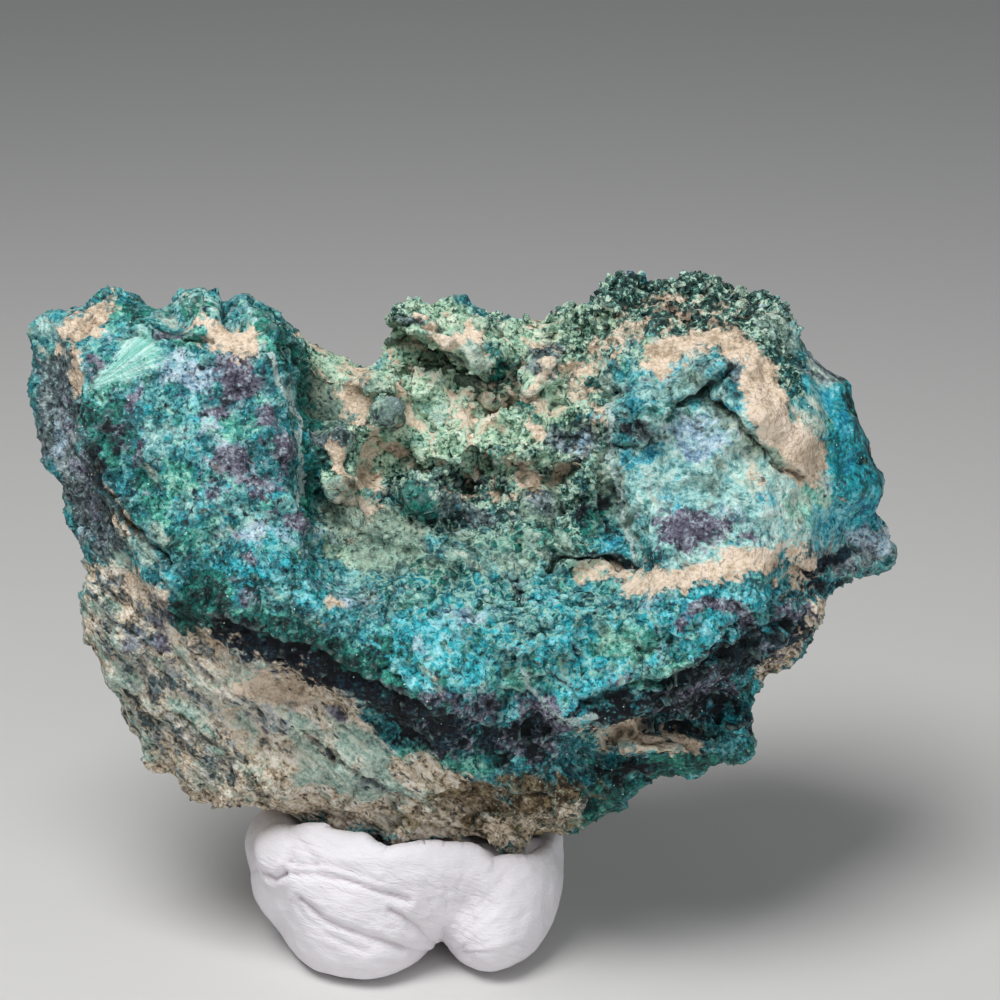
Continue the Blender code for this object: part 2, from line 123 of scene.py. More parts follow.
# Where each mineral shows on the face. The share says how much of the place the mineral takes up, and later
# minerals lie over earlier ones.
MINERALS = {
    "aqua": marks(
        (26, 6.6, 10, 8.5, 0, 1.1), (21.5, 16, 5, 3.5, 0, 0.6), (33.6, 5.4, 4, 6, 15, 1.1),
        (-29.7, 11.4, 2.4, 2, 0, 0.7), (-27, 4.8, 3, 2.2, 0, 0.6), (-21, 3.2, 3.4, 1.4, 0, 0.65),
        (-42.4, 10, 0.9, 4, 0, 0.5), (-25, 14, 9, 9, 0, 0.25), (-41.4, 22.6, 2.2, 1.6, 0, 0.75),
        (-20.6, 23.4, 2, 1.6, 0, 0.8), (-26.4, 24.8, 2.6, 1.6, 0, 0.8), (-33, 24.6, 3, 1.2, 0, 0.5),
        (-31, 18.4, 1.6, 1.2, 0, 0.6), (-1.5, -8.2, 4.6, 3.2, 0, 0.66), (2.8, -6, 2.2, 1.4, 0, 0.6),
        (-11, -3, 3, 1.4, 0, 0.55), (7, -6.6, 3, 1.4, 0, 0.5), (38.2, 16.6, 1, 0.9, 0, 0.7),
        (41.2, 6.4, 1.1, 1.8, 0, 0.75), (38.4, 10.2, 0.9, 1.2, 0, 0.6),
    ),
    "turquoise": marks(
        (-1.5, -9.5, 7, 4.8, 0, 0.95), (23, -7.4, 8, 3.4, 15), (12.5, -10.5, 7, 4.4, 10, 0.8),
        (2.6, [(38.6, 15), (39, 11), (39.6, 7), (40.4, 3.6)], 1), (35, 17.5, 1.8, 1.8, 0, 0.6),
        (10, -5, 5, 2.6, 0, 0.55), (-18.8, 5.5, 2.2, 1.5, 0, 0.75), (-19.5, -0.5, 6, 2.8, 0, 0.55),
        (31.5, -8.2, 3.2, 1.8, 30, 0.8), (-14.5, -4, 4, 2.6, 0, 0.6), (12, -17, 2.2, 1, 0, 0.7),
        (5.5, -16, 2.4, 1.8, 0, 0.6), (28, -17.6, 2.6, 1.4, 0, 0.7), (-28, 4.5, 4.5, 3.5, 0, 0.35),
        (-35.8, 5.4, 1.8, 1.8, 0, 0.5), (16.5, -19.4, 1.8, 1, 0, 0.6), (14, 0.8, 1.6, 1.4, 0, 0.7),
        (33, -17, 1.2, 1.4, 0, 0.7), (30.4, -13, 2, 1.2, 20, 0.75), (24.6, -13.6, 1.6, 0.9, 0, 0.7),
        (-22.4, -2.6, 3.2, 2.4, 0, 0.72), (-20, 11, 2, 1.4, 0, 0.6), (-10.2, 9.8, 1, 0.9, 0, 0.75),
        (8.6, -22.6, 3, 1.4, 20, 0.6), (-15, -25.4, 6, 1.8, -20, 0.62),
        (1.2, [(-14.8, 14), (-14.5, 5)], 0.85), (-25.6, -20.6, 4, 1.2, -40, 0.5),
        (-37, -6, 1.4, 3, 0, 0.55),
    ),
    "jade": marks(
        (-27.4, 21.2, 2.2, 1.4, 0, 0.8), (-22.4, 12.4, 2.8, 1.8, 0, 0.85), (-28.4, 6.8, 2.2, 2, 0, 0.8),
        (-30.6, 4.2, 2, 2, 0, 0.8), (-33.5, 24, 2.6, 1.4, 0, 0.6), (-23.6, -4.6, 2.6, 2, 0, 0.7),
        (-35.4, 17, 2.6, 2.2, 40, 0.65), (-31, 21, 2, 1.2, 0, 0.6), (35, 4.6, 2.8, 2.4, 0, 0.8),
        (16.4, -9.4, 4.2, 2.4, 10, 0.72), (6, -13.4, 3.2, 2, 0, 0.6), (21, -12, 4.2, 1.6, 20, 0.65),
        (-5, -20.5, 3.2, 1.6, -30, 0.65), (-10.6, -24.6, 5, 1.4, -20, 0.56), (-30, -14.6, 2, 2, 0, 0.5),
        (1, -22.2, 3.6, 1.6, -10, 0.65), (-41.6, 4, 1.4, 3, 0, 0.6),
        (1.4, [(-20, -6.6), (-14, -8.8), (-9, -11.6)], 0.66), (-27, 1, 3, 1.8, 0, 0.6),
        (-19, 20.6, 2, 1.6, 0, 0.6), (-12.4, 4, 1.2, 3, 0, 0.5), (10, 1.6, 5, 2.4, 0, 0.55),
        (33.5, 12, 2, 2.6, 0, 0.5), (10.6, -3, 4, 1.4, 0, 0.5), (-22, 6, 1.6, 1.2, 0, 0.6),
        (31, -18.4, 3, 1.4, 0, 0.6), (38, 12.6, 1, 1.4, 0, 0.8), (36.6, 9.4, 1, 1.6, 0, 0.7),
    ),
    "malachite": marks(
        (-2, 14.5, 8, 6.5), (7.5, 14, 7, 8, 0, 0.8), (3, 8, 10, 4, 0, 0.7), (-3, 22, 7, 4),
        (10, 22, 8, 3.5, 0, 0.8), (-12.5, 19.5, 4, 2.6, -25), (-10.5, 9, 3.5, 4.5, 0, 0.8),
        (18, 22, 8, 4, 0, 0.5), (14, 6, 2.6, 6, 0, 0.5), (-11, 1, 4.5, 2.5, -25, 0.6), (-5, 10, 5, 4),
    ),
    "crust": marks(
        (23, 24.8, 12, 4.4, -8, 0.8), (31.5, 19, 3, 5.6, 20, 0.7), (13, 22.5, 5, 4.6, 0, 0.5),
        (13.5, 12, 3, 8, 0, 0.6), (1.6, [(-6.5, 6.2), (0, 6.6), (6, 5), (12, 4.4)], 0.8),
        (10, 9.5, 4, 4, 0, 0.5), (4.5, 16.5, 2.4, 2.6, 0, 0.6), (-6.4, 24, 3.4, 1.4, -10, 0.7),
        (0, 11, 8, 6, 0, 0.3), (-10.2, 13.8, 1, 1.4, 0, 0.8), (3, 24, 2, 1.6, 0, 0.6),
        (4, 3, 11, 3.2, -5, 0.6), (8, -0.8, 8, 2, 0, 0.5),
    ),
    "olive": marks(
        (-8.4, 1.6, 5.2, 3, -25, 1.2), (-4, -1.2, 5, 1.6, -12, 0.7), (-13.2, 14.4, 1.7, 3.6, 0, 1.1),
        (22.8, 17, 3.4, 1.6, 20, 0.6), (10, -0.2, 2.6, 2.2, 0, 0.5),
        (0.8, [(25, 14.4), (29, 11), (32.5, 8.2)]), (-9.1, 16.6, 1.8, 1.2), (7.9, 4.5, 2, 1.8, 0, 1.1),
        (-12.4, 10.2, 2.4, 2.2, 0, 1), (-7, 13.4, 1.7, 1.5, 0, 0.95), (28, 9, 9, 6, 0, 0.3),
        (2.4, 22.8, 2.4, 1.2, -20, 0.6), (1, 20.6, 2.6, 2, -45, 0.75), (-1.6, 21.2, 3.4, 0.8, -24, 0.7),
        (3, 0, 6, 2.4, 0, 0.5), (14.5, 7, 1.8, 5, 0, 0.6), (-12, 24, 4, 1.5, 0, 0.6),
        (-11.1, 6.5, 1.2, 1.1, 0, 1), (15.4, -7.8, 2.6, 1.6, 0, 0.5),
    ),
    "emerald": marks(
        (-25.8, -5.6, 2.8, 3.8, -12, 1.2), (-19, 22.8, 3.4, 2.2, 0, 0.65), (-33.5, 24.8, 3.4, 1.4, 0, 0.7),
        (2, [(-24, -7), (-19, -8.6), (-13.5, -10.6), (-9, -13.5), (-3, -17)]),
        (-26.5, 24.6, 2.8, 2, 0, 0.65), (1.3, [(-15, 20), (-14.8, 12), (-14.4, 4)], 0.7),
        (-32, 6.8, 1.9, 1.3, 0, 0.8), (-29.4, 1, 1.5, 2.4, 0, 0.8), (-37.6, 13.6, 1.7, 1.8, 0, 0.85),
        (-33, 4, 2.5, 3, 20, 0.45), (-35.2, 11.8, 3, 4, 0, 0.7), (-7, -10.5, 3.4, 2.6, 0, 0.55),
        (3.5, -20, 4.2, 2.2, 0, 0.6), (-15.4, -8.6, 3.6, 1.6, -28, 0.85), (22, -21.6, 7.5, 1.6, 6),
        (13.5, 3, 3, 1.6, 25, 0.7), (18.5, -11, 4.5, 1.8, 20, 0.45), (38.6, 17, 1.6, 1.6, 0, 0.5),
        (35.5, 7.4, 1.6, 1.2, 0, 0.8), (13, -26.4, 4.5, 2.2, 25, 1), (20.8, 13.9, 2.6, 1, 12, 0.7),
        (8, 1.6, 7, 2.2, 0, 0.4), (14, -6, 4, 3, 0, 0.35), (-17, 20, 2, 3, 0, 0.6),
        (30, -14, 4, 1.4, 30, 0.6), (17, -24, 5, 1.6, 15, 0.8), (-4.3, 4.3, 1.7, 1.5, 0, 1),
        (3.7, 18.4, 1.4, 1.6), (7.3, 14.1, 1.5, 1.3, 0, 0.75), (12.6, 16.5, 1.5, 1),
        (3.4, 9.4, 2.6, 0.9, 0, 0.7), (-2, -21, 4, 2, -30, 0.6), (6, 0.6, 4.6, 1.8, -8, 0.55),
        (-1, -2, 4, 1.8, -10, 0.6), (19, 23.6, 3, 2, 0, 0.5), (-12.4, 5, 1.1, 0.9, 0, 0.7),
        (-11, 6.7, 0.7, 0.6, 0, 0.8), (39.4, 14, 0.8, 1.8, 0, 0.85), (40.4, 10.4, 1, 2.4, 0, 0.55),
        (2, 6.6, 3.4, 0.8, 0, 0.7), (9.6, 12, 1.2, 0.9, 0, 0.7), (-7.6, 14.2, 0.8, 0.8, 0, 0.8),
    ),
    "matrix": marks(
        (-22, -18.6, 16, 9, -25), (-33, -11, 5.6, 9.6, 20, 0.8), (-7, -25.5, 12, 5, -8, 0.88),
        (0.7, [(-38.8, 19.6), (-38.9, 15.6)], 0.8),
        (0.6, [(-37.4, 8.4), (-35.6, 6.4), (-33.6, 3.4), (-32.4, 0.6)], 0.72),
        (0.5, [(-40.4, 14), (-39.4, 9), (-37.4, 3.6)], 0.62),
        (0.9, [(-34.6, -2), (-33, -4.6), (-29.5, -8)], 0.8), (41.4, 0.6, 2.8, 2.6, 0, 0.5),
        (36, -5, 1.6, 1.2, 0, 0.6), (-36.5, -4, 2.4, 4.6, 0, 0.6), (-34.6, 2, 1.6, 3.6, 30, 0.6),
        (0.9, [(36, -5.5), (33.5, -10), (30.5, -12.5)]), (7.6, -27, 5, 2.4, 14, 0.8),
        (30, 4, 8, 4, 0, 0.25), (-25, 20.5, 4, 1.2, 0, 0.5), (5, -29.6, 6, 2, 6, 1),
        (-11, -28, 8, 1.6, -4, 1),
    ),
    "sage": marks(
        (-13, -19.6, 8, 3.2, -28, 0.6), (-33, -17, 3.4, 6, 25, 0.55), (-36.5, -8, 2.4, 4, 0, 0.6),
        (-24, -16, 10, 6, -30, 0.4), (4, 1, 8, 3.4, -6, 0.3), (-42.6, 6, 1.4, 4, 0, 0.6),
        (35, 13, 1.6, 4, 10, 0.6), (36.2, 18, 2.2, 2, -35, 0.6), (14.5, 18, 2.4, 2.4, 0, 0.4),
        (0.6, 20.4, 2.8, 2.2, -40, 0.35), (-6, -25, 7, 2, -10, 0.5), (-23, -23, 6, 3, -30, 0.5),
        (-12, 24, 4, 1.5, 0, 0.4), (0.7, [(15.2, 16), (15.6, 8), (17, 0)], 0.7),
        (-34.6, 0, 1.6, 3, 25, 0.6), (28, 7, 10, 6, 0, 0.4), (32, 21, 3, 3.4, 0, 0.5),
        (-41.2, 16, 1.6, 5, 0, 0.4), (10, -28.4, 6, 1.6, 12, 0.4), (-12, -23.6, 6.4, 2.4, -24, 0.68),
        (-2.4, 17.6, 3, 1.2, -20, 0.5), (-32.2, 0.2, 2.4, 2.6, -40, 0.66), (-27.6, 24.8, 2.6, 1.2, 0, 0.5),
    ),
    "slate": marks(
        (-31.5, -8, 2.8, 3, 0, 0.7), (24.5, 12.8, 3, 1.8, -20, 0.6), (-13, 14.6, 1, 2.4, 0, 0.5),
        (1.6, 3.8, 2.4, 1.4, 0, 0.75), (11, 10.9, 3, 1.6, 0, 0.75), (27.4, 18, 1.9, 0.9, -22, 1),
        (-36, 12.6, 2, 1.6, 0, 0.4), (-41.2, 14, 2, 7, -6, 0.75), (-12.6, 10.8, 2, 1.9, 0, 0.85),
        (8.4, 18.9, 1.7, 1.4, 0, 1), (-0.8, 4.6, 1.7, 1.3), (-5.6, 22.9, 2.2, 0.8, -10, 0.6),
        (40.5, -0.2, 3.4, 2.6, 0, 0.66), (-26, -18, 9, 6, -38, 0.42), (-34, -12, 2, 5, 25, 0.5),
        (-10, -23, 6, 2.4, -20, 0.4), (-40, 3, 1.2, 4, 15, 0.6), (-35.8, -5, 2, 3.6, 10, 0.5),
        (-22, -14, 8, 4, -35, 0.42), (-10.5, -4.5, 4, 1.6, 0, 0.6), (-22, -3, 2.4, 1.2, 0, 0.45),
        (38, -0.5, 4, 2.2, 0, 0.66), (0.5, 24.6, 1.6, 1, 0, 0.5), (19.5, 11.6, 3, 1.4, 0, 0.7),
        (-32, -16, 3, 4, 20, 0.4), (22.6, 18.2, 3, 1.4, 22, 0.5),
        (1.7, [(-40.8, 18), (-40, 10), (-38, 5), (-36, 0.5)], 1.05), (-7, 13.6, 1.5, 1.3, 0, 0.85),
        (7.9, 4.5, 1.7, 1.5, 0, 0.85), (36.8, 18.8, 2.6, 2, -35, 0.85),
    ),
    "lavender": marks(
        (-27.5, 17.5, 2.9, 2.3, -20, 0.72), (-24.2, 17.6, 1.2, 1, 0, 0.6), (-40.4, 12, 1.4, 5, -6, 0.55),
        (-32, 15.2, 2.4, 1.2, 0, 0.5), (-25.4, 12.5, 3, 2, 0, 0.4), (27, 3.4, 4, 2.4, 0, 0.5),
        (-20.6, 1.8, 3.4, 1.6, 0, 0.55), (0.5, -6.2, 2.4, 1.2, 0, 0.7), (-19, -2, 3, 1.4, 0, 0.4),
        (-11, -4.6, 2, 1.4, 0, 0.6), (-4.4, -9, 1.4, 2.4, 0, 0.5), (19, -5.2, 1.4, 1.4, 0, 0.5),
        (24, 11.4, 4, 2.6, 0, 0.58), (-15, 0.6, 1.6, 1.6, 0, 0.5), (41.2, 1.2, 2.4, 1.8, 0, 0.8),
        (-23, 10.2, 2.4, 1, 0, 0.55), (11.4, 10.6, 2, 1.2, 0, 0.5), (-19.6, 8.4, 1.4, 1, 0, 0.6),
    ),
    "purple": marks(
        (-22.6, 17.2, 3, 3, -25, 0.88), (-24.2, 14.2, 1.4, 2.2, 0, 0.7), (-19.4, 13.2, 1.2, 2, 0, 0.85),
        (-17.4, 9.8, 1.5, 2.4, 0, 0.95), (-22.8, 8.8, 2.8, 1.7, 8, 0.95), (-20.4, 6.4, 2.4, 1.4, 0, 0.85),
        (-16, 2.6, 1.8, 1.3, 0, 0.8), (-32.9, 14.7, 0.9, 1, 0, 0.8), (-34.9, 12.2, 1.2, 1.2, 0, 0.7),
        (-32.6, 9.8, 1.5, 1.5, 0, 0.66), (-26.6, 11, 1, 1, 0, 0.66), (-25.4, 5.8, 1.1, 1.1, 0, 0.66),
        (-21.8, -0.9, 1.3, 0.8, 0, 0.7), (-30, 22, 2.8, 0.9, 8, 0.8), (-36.6, 18, 1.1, 1.8, 0, 0.7),
        (23, 2.4, 4.2, 2.3, -5, 0.92), (20.4, 1.4, 1.8, 1.2, 0, 0.8), (29.6, 1.2, 2, 1, 0, 0.62),
        (39.4, -1.2, 2.4, 1.2, 0, 0.6), (33.5, 11.5, 1.2, 1.6, 0, 0.5), (-40.6, 12, 1, 6, -6, 0.4),
        (-2, -18, 5.4, 3.4, -20, 0.55), (-14, -12.6, 5, 1.6, -28, 0.55), (7, -19.4, 4, 2.2, -10, 0.7),
        (31, -9.6, 3, 1.8, 30, 0.6), (20, -15.8, 4, 1.6, 10, 0.55), (33.2, -6.2, 1.5, 1.6, 0, 0.8),
        (24, -14.8, 5.4, 2, 25, 0.75), (12, -21, 3, 2, 0, 0.4),
        (0.75, [(22.6, -7.4), (23.4, -5.8), (25.6, -5.2), (28, -5.8), (28.6, -7.2)], 1),
        (8.5, -16.8, 3.2, 2, -35, 0.85), (1, -16, 4.6, 2, 0, 0.65), (-21.8, -4.6, 1.4, 1.3, 0, 0.7),
        (-38, 7, 1, 4, 15, 0.56), (41.2, 0.4, 2.2, 1.8, 0, 0.4), (-30, -6, 2.6, 3, 0, 0.4),
        (-22, -14, 9, 5, -35, 0.26), (-31.4, -9, 3, 3.4, 20, 0.46), (-12.4, -16.6, 2.4, 0.8, -30, 0.6),
        (-12, -3.4, 3, 1.4, 0, 0.5), (-36.6, 2.4, 0.9, 3, 25, 0.5),
        (0.9, [(-40.2, 17), (-39.6, 10), (-37.8, 4.6), (-36, 0.6)], 0.46), (37.6, 6.6, 1, 0.9, 0, 0.6),
    ),
    "sky": marks(
        (18.2, 9.4, 2.2, 1, 12), (22.5, 9.4, 2, 0.9, 0, 0.6), (21.6, 5, 1.8, 1, 0, 0.6),
        (31, 5, 1.2, 1.6, 0, 0.66), (27.4, 0.8, 1.4, 0.7, 0, 0.7),
        (1.2, [(36.8, 15.4), (38.6, 11.5), (39.2, 7.6)], 0.6), (37.4, 2.6, 2.4, 1.7, 40, 0.85),
        (41, 4.2, 1.4, 1.4), (20.8, 17.8, 2.6, 1.2, 30, 0.6), (22.4, -6, 2, 1.2, 0, 0.7),
        (17.2, 14.8, 1.8, 1.1, 0, 0.6), (30.5, -4.8, 2.2, 0.9, 0, 0.6), (15, 0.6, 1.2, 1.6, -30, 0.7),
        (12, -3.6, 2, 1, 0, 0.5), (26.6, 14.6, 1.4, 0.7, -15, 0.8), (11.5, -15.6, 1.3, 0.8, 0, 0.8),
        (-3.5, -7, 2.6, 1.2, 0, 0.5), (12.6, 12.9, 1, 0.6, 0, 0.8),
    ),
    "mint": marks(
        (-3.6, 12.6, 3, 3.4, 0, 0.35), (-12.6, 18.4, 1.2, 1.6, 0, 0.35),
    ),
    "clay": marks(
        (-38.4, 22.8, 3.4, 1.5, 32), (-36.2, 23.6, 2.2, 1, 55), (-39.6, 21.4, 1.2, 2.4, -30, 0.7),
        (-23, 21.6, 3.1, 2, -28), (-25, 23, 1.6, 0.8, -30, 0.8), (-27, 23, 1.4, 0.6, 0, 0.6),
        (0.7, [(-38.8, 20), (-38.8, 16)]), (0.8, [(-15.2, 22.2), (-13, 21)]), (-10.4, 15, 1.7, 2, 10),
        (-9.8, 18.2, 2.2, 1.1, -20, 0.8), (-9, 7, 1.8, 1.5, 0, 0.7), (-10.4, 4.6, 2, 1.2, 0, 0.66),
        (-4.4, 16.8, 1.6, 0.7, -15, 0.45), (0.4, 13.8, 1.2, 0.6, 0, 0.5), (17, 22.4, 3.4, 2.4, 0, 0.5),
        (0.2, 21.4, 0.6, 1.2, -20, 0.35), (7.2, 7, 1.3, 1.4, 0, 0.85), (-6, 11.8, 1, 0.6, 0, 0.5),
        (-0.6, 19.8, 1, 0.5, 0, 0.4), (5.8, 17.4, 1, 1, 0, 0.6), (8, 20.6, 2.2, 1, 0, 0.7),
        (8.8, 14.4, 1, 1.3, 0, 0.7), (12.4, 18.4, 3, 1, 10, 0.7), (14.5, 20.5, 3, 1.4, 0, 0.62),
        (3, 12, 1.8, 0.6, 15, 0.6), (13.6, 14, 1.4, 1.8, 0, 0.7), (5.6, 9.6, 1.6, 0.6, 10, 0.55),
        (-5, 9, 1.2, 0.8, 0, 0.35), (3, 12, 11, 9, 0, 0.18), (22, 23.4, 9, 3, 0, 0.4),
        (1.5, [(19.6, 19.2), (22, 20.4), (25.4, 21.4), (28.4, 20.2), (30, 17.8)]),
        (2, [(29.8, 17), (31, 14.2), (32.8, 11.4), (35, 8.4)], 1.05), (23, -2, 6, 2, 0, 0.45),
        (1.4, [(17.4, -3.2), (20, -2.7), (24, -2.3), (28, -1.2), (31, -1)], 0.95),
        (33.6, -0.6, 1.4, 1.6, 0, 0.7), (0.7, [(12.2, -2.1), (16, -1.7)]), (34.6, -2.6, 2.6, 1.6, 42),
        (-19.2, -14.2, 4.4, 1.5, -6, 0.85), (-25, -9.8, 1.6, 1.2, -30, 0.8), (18.8, -19, 5, 1.4, -4, 1.1),
        (-12, -5, 1.3, 0.8, 0, 0.7), (30, 6.6, 2.4, 0.9, -45, 0.66), (-31, -5, 2.4, 2.6, 30, 0.45),
        (-11, 1.4, 2, 1.2, 0, 0.4), (-22, -19, 6, 3, -30, 0.35), (-33.5, -3, 1, 1.2, 0, 0.85),
        (-5.6, 15.6, 1, 0.8, 0, 0.55),
    ),
    "dirt": marks(
        (4, -25.6, 9, 3, 8, 0.62), (9, -29, 4, 1.4, 8, 0.6), (12, -24.4, 3.5, 1.4, 30, 0.7),
        (-6, -27.6, 8, 1.6, -4, 0.5), (19.4, -18, 3, 0.35, 2, 0.6), (20, -19.8, 3, 0.35, -6, 0.6),
        (-19, -25.6, 4, 0.9, -35, 0.4), (-11.4, 6.2, 1, 0.6, 0, 0.7),
        (0.6, [(-36.4, 6.6), (-34, 3.6), (-32.6, 1)], 0.7), (7, 5.6, 1, 0.8, 0, 0.6),
    ),
    "deep": marks(
        (2, [(-23.9, -8.2), (-18.8, -10.2), (-14.8, -12), (-9.7, -14), (-3.5, -17.2)], 0.8),
        (-20.4, -10, 3.2, 1.5, -22, 1), (-12.6, -12.8, 2.6, 1.5, -36, 0.95),
        (1.4, [(-3.5, -17), (3, -18.8), (8, -18.4)], 0.66), (36.6, -1.4, 2.6, 0.7, 36, 0.95),
        (36, -3.8, 2, 0.8), (1.7, [(13.5, -16.6), (19.5, -15.4), (24.5, -12), (29, -9), (34, -7.8)], 0.66),
        (15.5, -16.8, 3.6, 1, 0, 1), (-3, -18, 5, 3.2, -20, 0.72), (28.5, -11, 3.4, 1.8, 30, 0.8),
        (24, -16.5, 6, 2.6, 12, 0.56), (-34.6, 11.6, 3, 3.4, 20, 0.38), (-36.6, 8, 1.6, 4, 15, 0.6),
        (24, 25.4, 9, 2.6, 0, 0.28), (-1, 6.6, 5, 1, -4, 0.66), (-38, 13.4, 1.2, 1.6, 0, 0.55),
        (13.6, 4.6, 2.8, 0.9, 28, 0.7), (16.5, -22.4, 3.4, 1.3, 0, 0.7), (6, -20, 5, 2.4, 0, 0.56),
        (-21, 14, 6, 7, 0, 0.14), (30, -17, 4, 2, 20, 0.5), (-31, -8, 2, 2.4, 0, 0.35),
        (18, 12.4, 2.6, 0.7, 0, 0.6), (-17, 22, 2.4, 1.4, 0, 0.3), (13.6, -0.8, 4.4, 0.6, -6, 0.75),
        (4.6, 17, 0.9, 0.5, 0, 0.7), (-6.4, 12.2, 1.2, 0.5, 0, 0.6), (-29.6, 0.6, 0.9, 1.8, 0, 0.5),
        (-36.1, 2.6, 0.5, 0.9),
    ),
}

# Where the face is lighter or, with a negative share, darker than its minerals alone: partly its own tone,
# and partly painted light and shade that lighten slopes lying in shade and darken places that catch much
# light.
TONES_AND_PAINTED_LIGHT = marks(
    (32.4, 12.6, 2.6, 6, -60, 0.34), (24, -2, 9, 2.4, 5, 0.16), (39.4, 11, 2.6, 7, 6, -0.66),
    (-25.8, -5.6, 3.4, 4, -12, -0.24), (34, 4.6, 4, 4, 0, 0.3), (-16, -11, 12, 1.8, -25, -0.14),
    (24, -14, 12, 3, 20, -0.16), (-18, -17, 10, 4, -30, 0.12), (41, 0.4, 3.4, 2.2, 0, 0.34),
    (-1.5, -9, 5, 3.4, 0, 0.12), (-34.6, 0.6, 3, 4.4, 30, -0.12), (-35, 4.8, 2.4, 3, 30, -0.24),
    (-3, 14, 6, 5, 0, 0.12), (26, 6, 8, 7, 0, 0.05), (-26, 16, 6, 5, 0, 0.05),
    (-41.6, 22.4, 2.2, 1.8, 0, 0.3), (18.8, -19.2, 4.6, 1.2, -4, 0.5), (-12.4, 10.8, 2.2, 2, 0, -0.26),
    (-7, 13.4, 1.7, 1.5, 0, -0.3), (-11.1, 6.6, 1, 0.9, 0, -0.25), (1, 20.4, 2.6, 2.2, -45, 0.18),
    (-27, 24.2, 3.6, 2, 0, 0.25), (-21.2, 23.6, 2.4, 1.6, 0, 0.12), (-19.2, -14.2, 4.6, 1.5, -6, 0.1),
    (-15.2, -8.8, 4.5, 2.2, -28, -0.34), (-22.6, 17, 3.2, 3, -25, -0.14), (23, 25.2, 10, 3, 0, -0.16),
    (8, -26, 8, 3, 8, -0.16), (-40.2, 10, 1.8, 9, -8, 0.16), (12, -21.6, 9, 2.2, 8, -0.26),
    (-24, -12, 9, 4, -30, 0.1), (-12, -23.6, 7, 3.4, -24, 0.12),
)

# How thickly each mineral is sprinkled over the rest of the face.
SPRINKLED = {
    "aqua": 0.26, "turquoise": 0.34, "jade": 0.3, "emerald": 0.28, "malachite": 0.05, "crust": 0,
    "olive": 0.1, "matrix": 0.04, "sage": 0.1, "slate": 0.16, "lavender": 0.16, "purple": 0.21, "sky": 0.14,
    "mint": 0, "clay": 0.04, "dirt": 0, "deep": 0.19,
}

# Narrow cracks and caves in the face: a depth and a half width. A negative depth fills a cave up.
CRACKS = rows_of(
    Crack,
    ("roof crack", 1.3, 0.32, [(20.8, 13.4), (22.6, 14.8), (24.2, 15.8), (26, 17), (27.4, 18)]),
    ("side crack", 1.2, 0.3, [(16, 10.4), (18.4, 10.2), (20.6, 11)]),
    ("sloping crack", 1, 0.28, [(24.2, 15.6), (27, 13.6), (29.6, 10.6), (32.2, 8.2), (34.4, 7.2)]),
    ("clay crack", 1.2, 0.24, [(33.4, -2), (34.6, -2.6), (36, -2.9)]),
    ("slit", 1.1, 0.26, [(8.6, -2.2), (10.2, -1), (12.6, -0.5), (15, -1), (17.2, -1.6)]),
    ("curl fold", 1.4, 0.35, [(-7.6, 20.8), (-4.4, 20.9), (-1.4, 19.6), (0.2, 18.8)]),
    ("upper fold", 0.8, 0.28, [(-7.4, 22.2), (-4, 22.6), (-1, 21.8)]),
    ("stem", 0.9, 0.28, [(-34, 22), (-29, 21.6), (-25, 21)]),
    ("corner", 1, 0.3, [(-39.6, 20.6), (-36.8, 23.4)]),
    ("left seam", 1.3, 0.4, [(-37.2, 10), (-36.2, 6), (-33, 2.4), (-29.4, -1.6)]),
    ("lower seam", 0.8, 0.35, [(-28, -16.8), (-24, -20), (-19.5, -25)]),
    ("middle seam", 0.9, 0.35, [(-15.6, -18.6), (-11, -22), (-7, -24.6)]),
    ("shelf line", 1.4, 0.45, [(16.4, -18.2), (19.5, -17.6), (22.5, -18), (26, -18.4)]),
    ("dark line", 1.6, 0.55, [(12.6, -15.6), (18, -13.6), (24, -12.6), (28.6, -9.6), (33, -7.4)]),
    ("filled upper cave", -2.6, 2.8, [(-6.4, 16), (-1, 16.6), (4.4, 16.4)]),
    ("filled side pit", -2.2, 1.3, [(14.9, 12.6), (15.2, 10.8)]),
    ("filled slit", -1.6, 1.4, [(11, -0.8), (14, -0.6)]),
    ("filled hole", -2.2, 1.7, [(2.4, 15.2), (6.6, 15.2)]),
    ("filled left cave", -2.4, 1.5, [(-5.8, 6.8), (-2.4, 6.2), (0.6, 6.6)]),
    ("filled right cave", -1.8, 1.4, [(1, 7.6), (4.6, 6.9), (8.6, 8)]),
    ("filled pit", -2.6, 1.7, [(-12.8, 6.6), (-12.2, 3.6)]),
    ("filled shelf hole", -2, 1.5, [(14.6, -18.6), (16.4, -19.4)]),
)

# Smooth hollows and, with a negative depth, swells that trim the outline: a depth and a half width.
DENTS = rows_of(
    Crack,
    ("crest's left notch", 0.8, 1.4, [(-30.2, 25.8), (-28.8, 23.6)]),
    ("crest's right notch", 2.6, 1, [(-23.2, 26), (-22.6, 23.6)]),
    ("crest's left slope", -1.1, 1.8, [(10.5, 24), (13, 24.6), (15.6, 26.6)]),
    ("over the putty", 1.6, 2.4, [(-22, -27.6), (-14, -28.4), (-6, -28.8), (2, -29.4), (8, -30)]),
    ("rim's spur", 1.4, 1.4, [(42.4, 11.4), (43.2, 8.8)]),
    ("hollow's skyline", 0.9, 2, [(-8.6, 19), (-7.6, 17.2)]),
    ("middle skyline", 0.7, 3, [(4, 24), (11, 23.6)]),
)

# Threads and layers: an oval whose threads run along its length.
THREADS = marks(
    (-4.4, 22.2, 4.4, 2.2, -14), (-3.6, 19.8, 4.8, 1.4, -24), (1, 20, 3.4, 2.2, -50),
    (2, 23.2, 3.4, 1.8, -24, 0.8), (-17, -14, 6, 2.4, -10, 0.6), (19.2, -19.2, 4.4, 1.8, -4, 1),
)
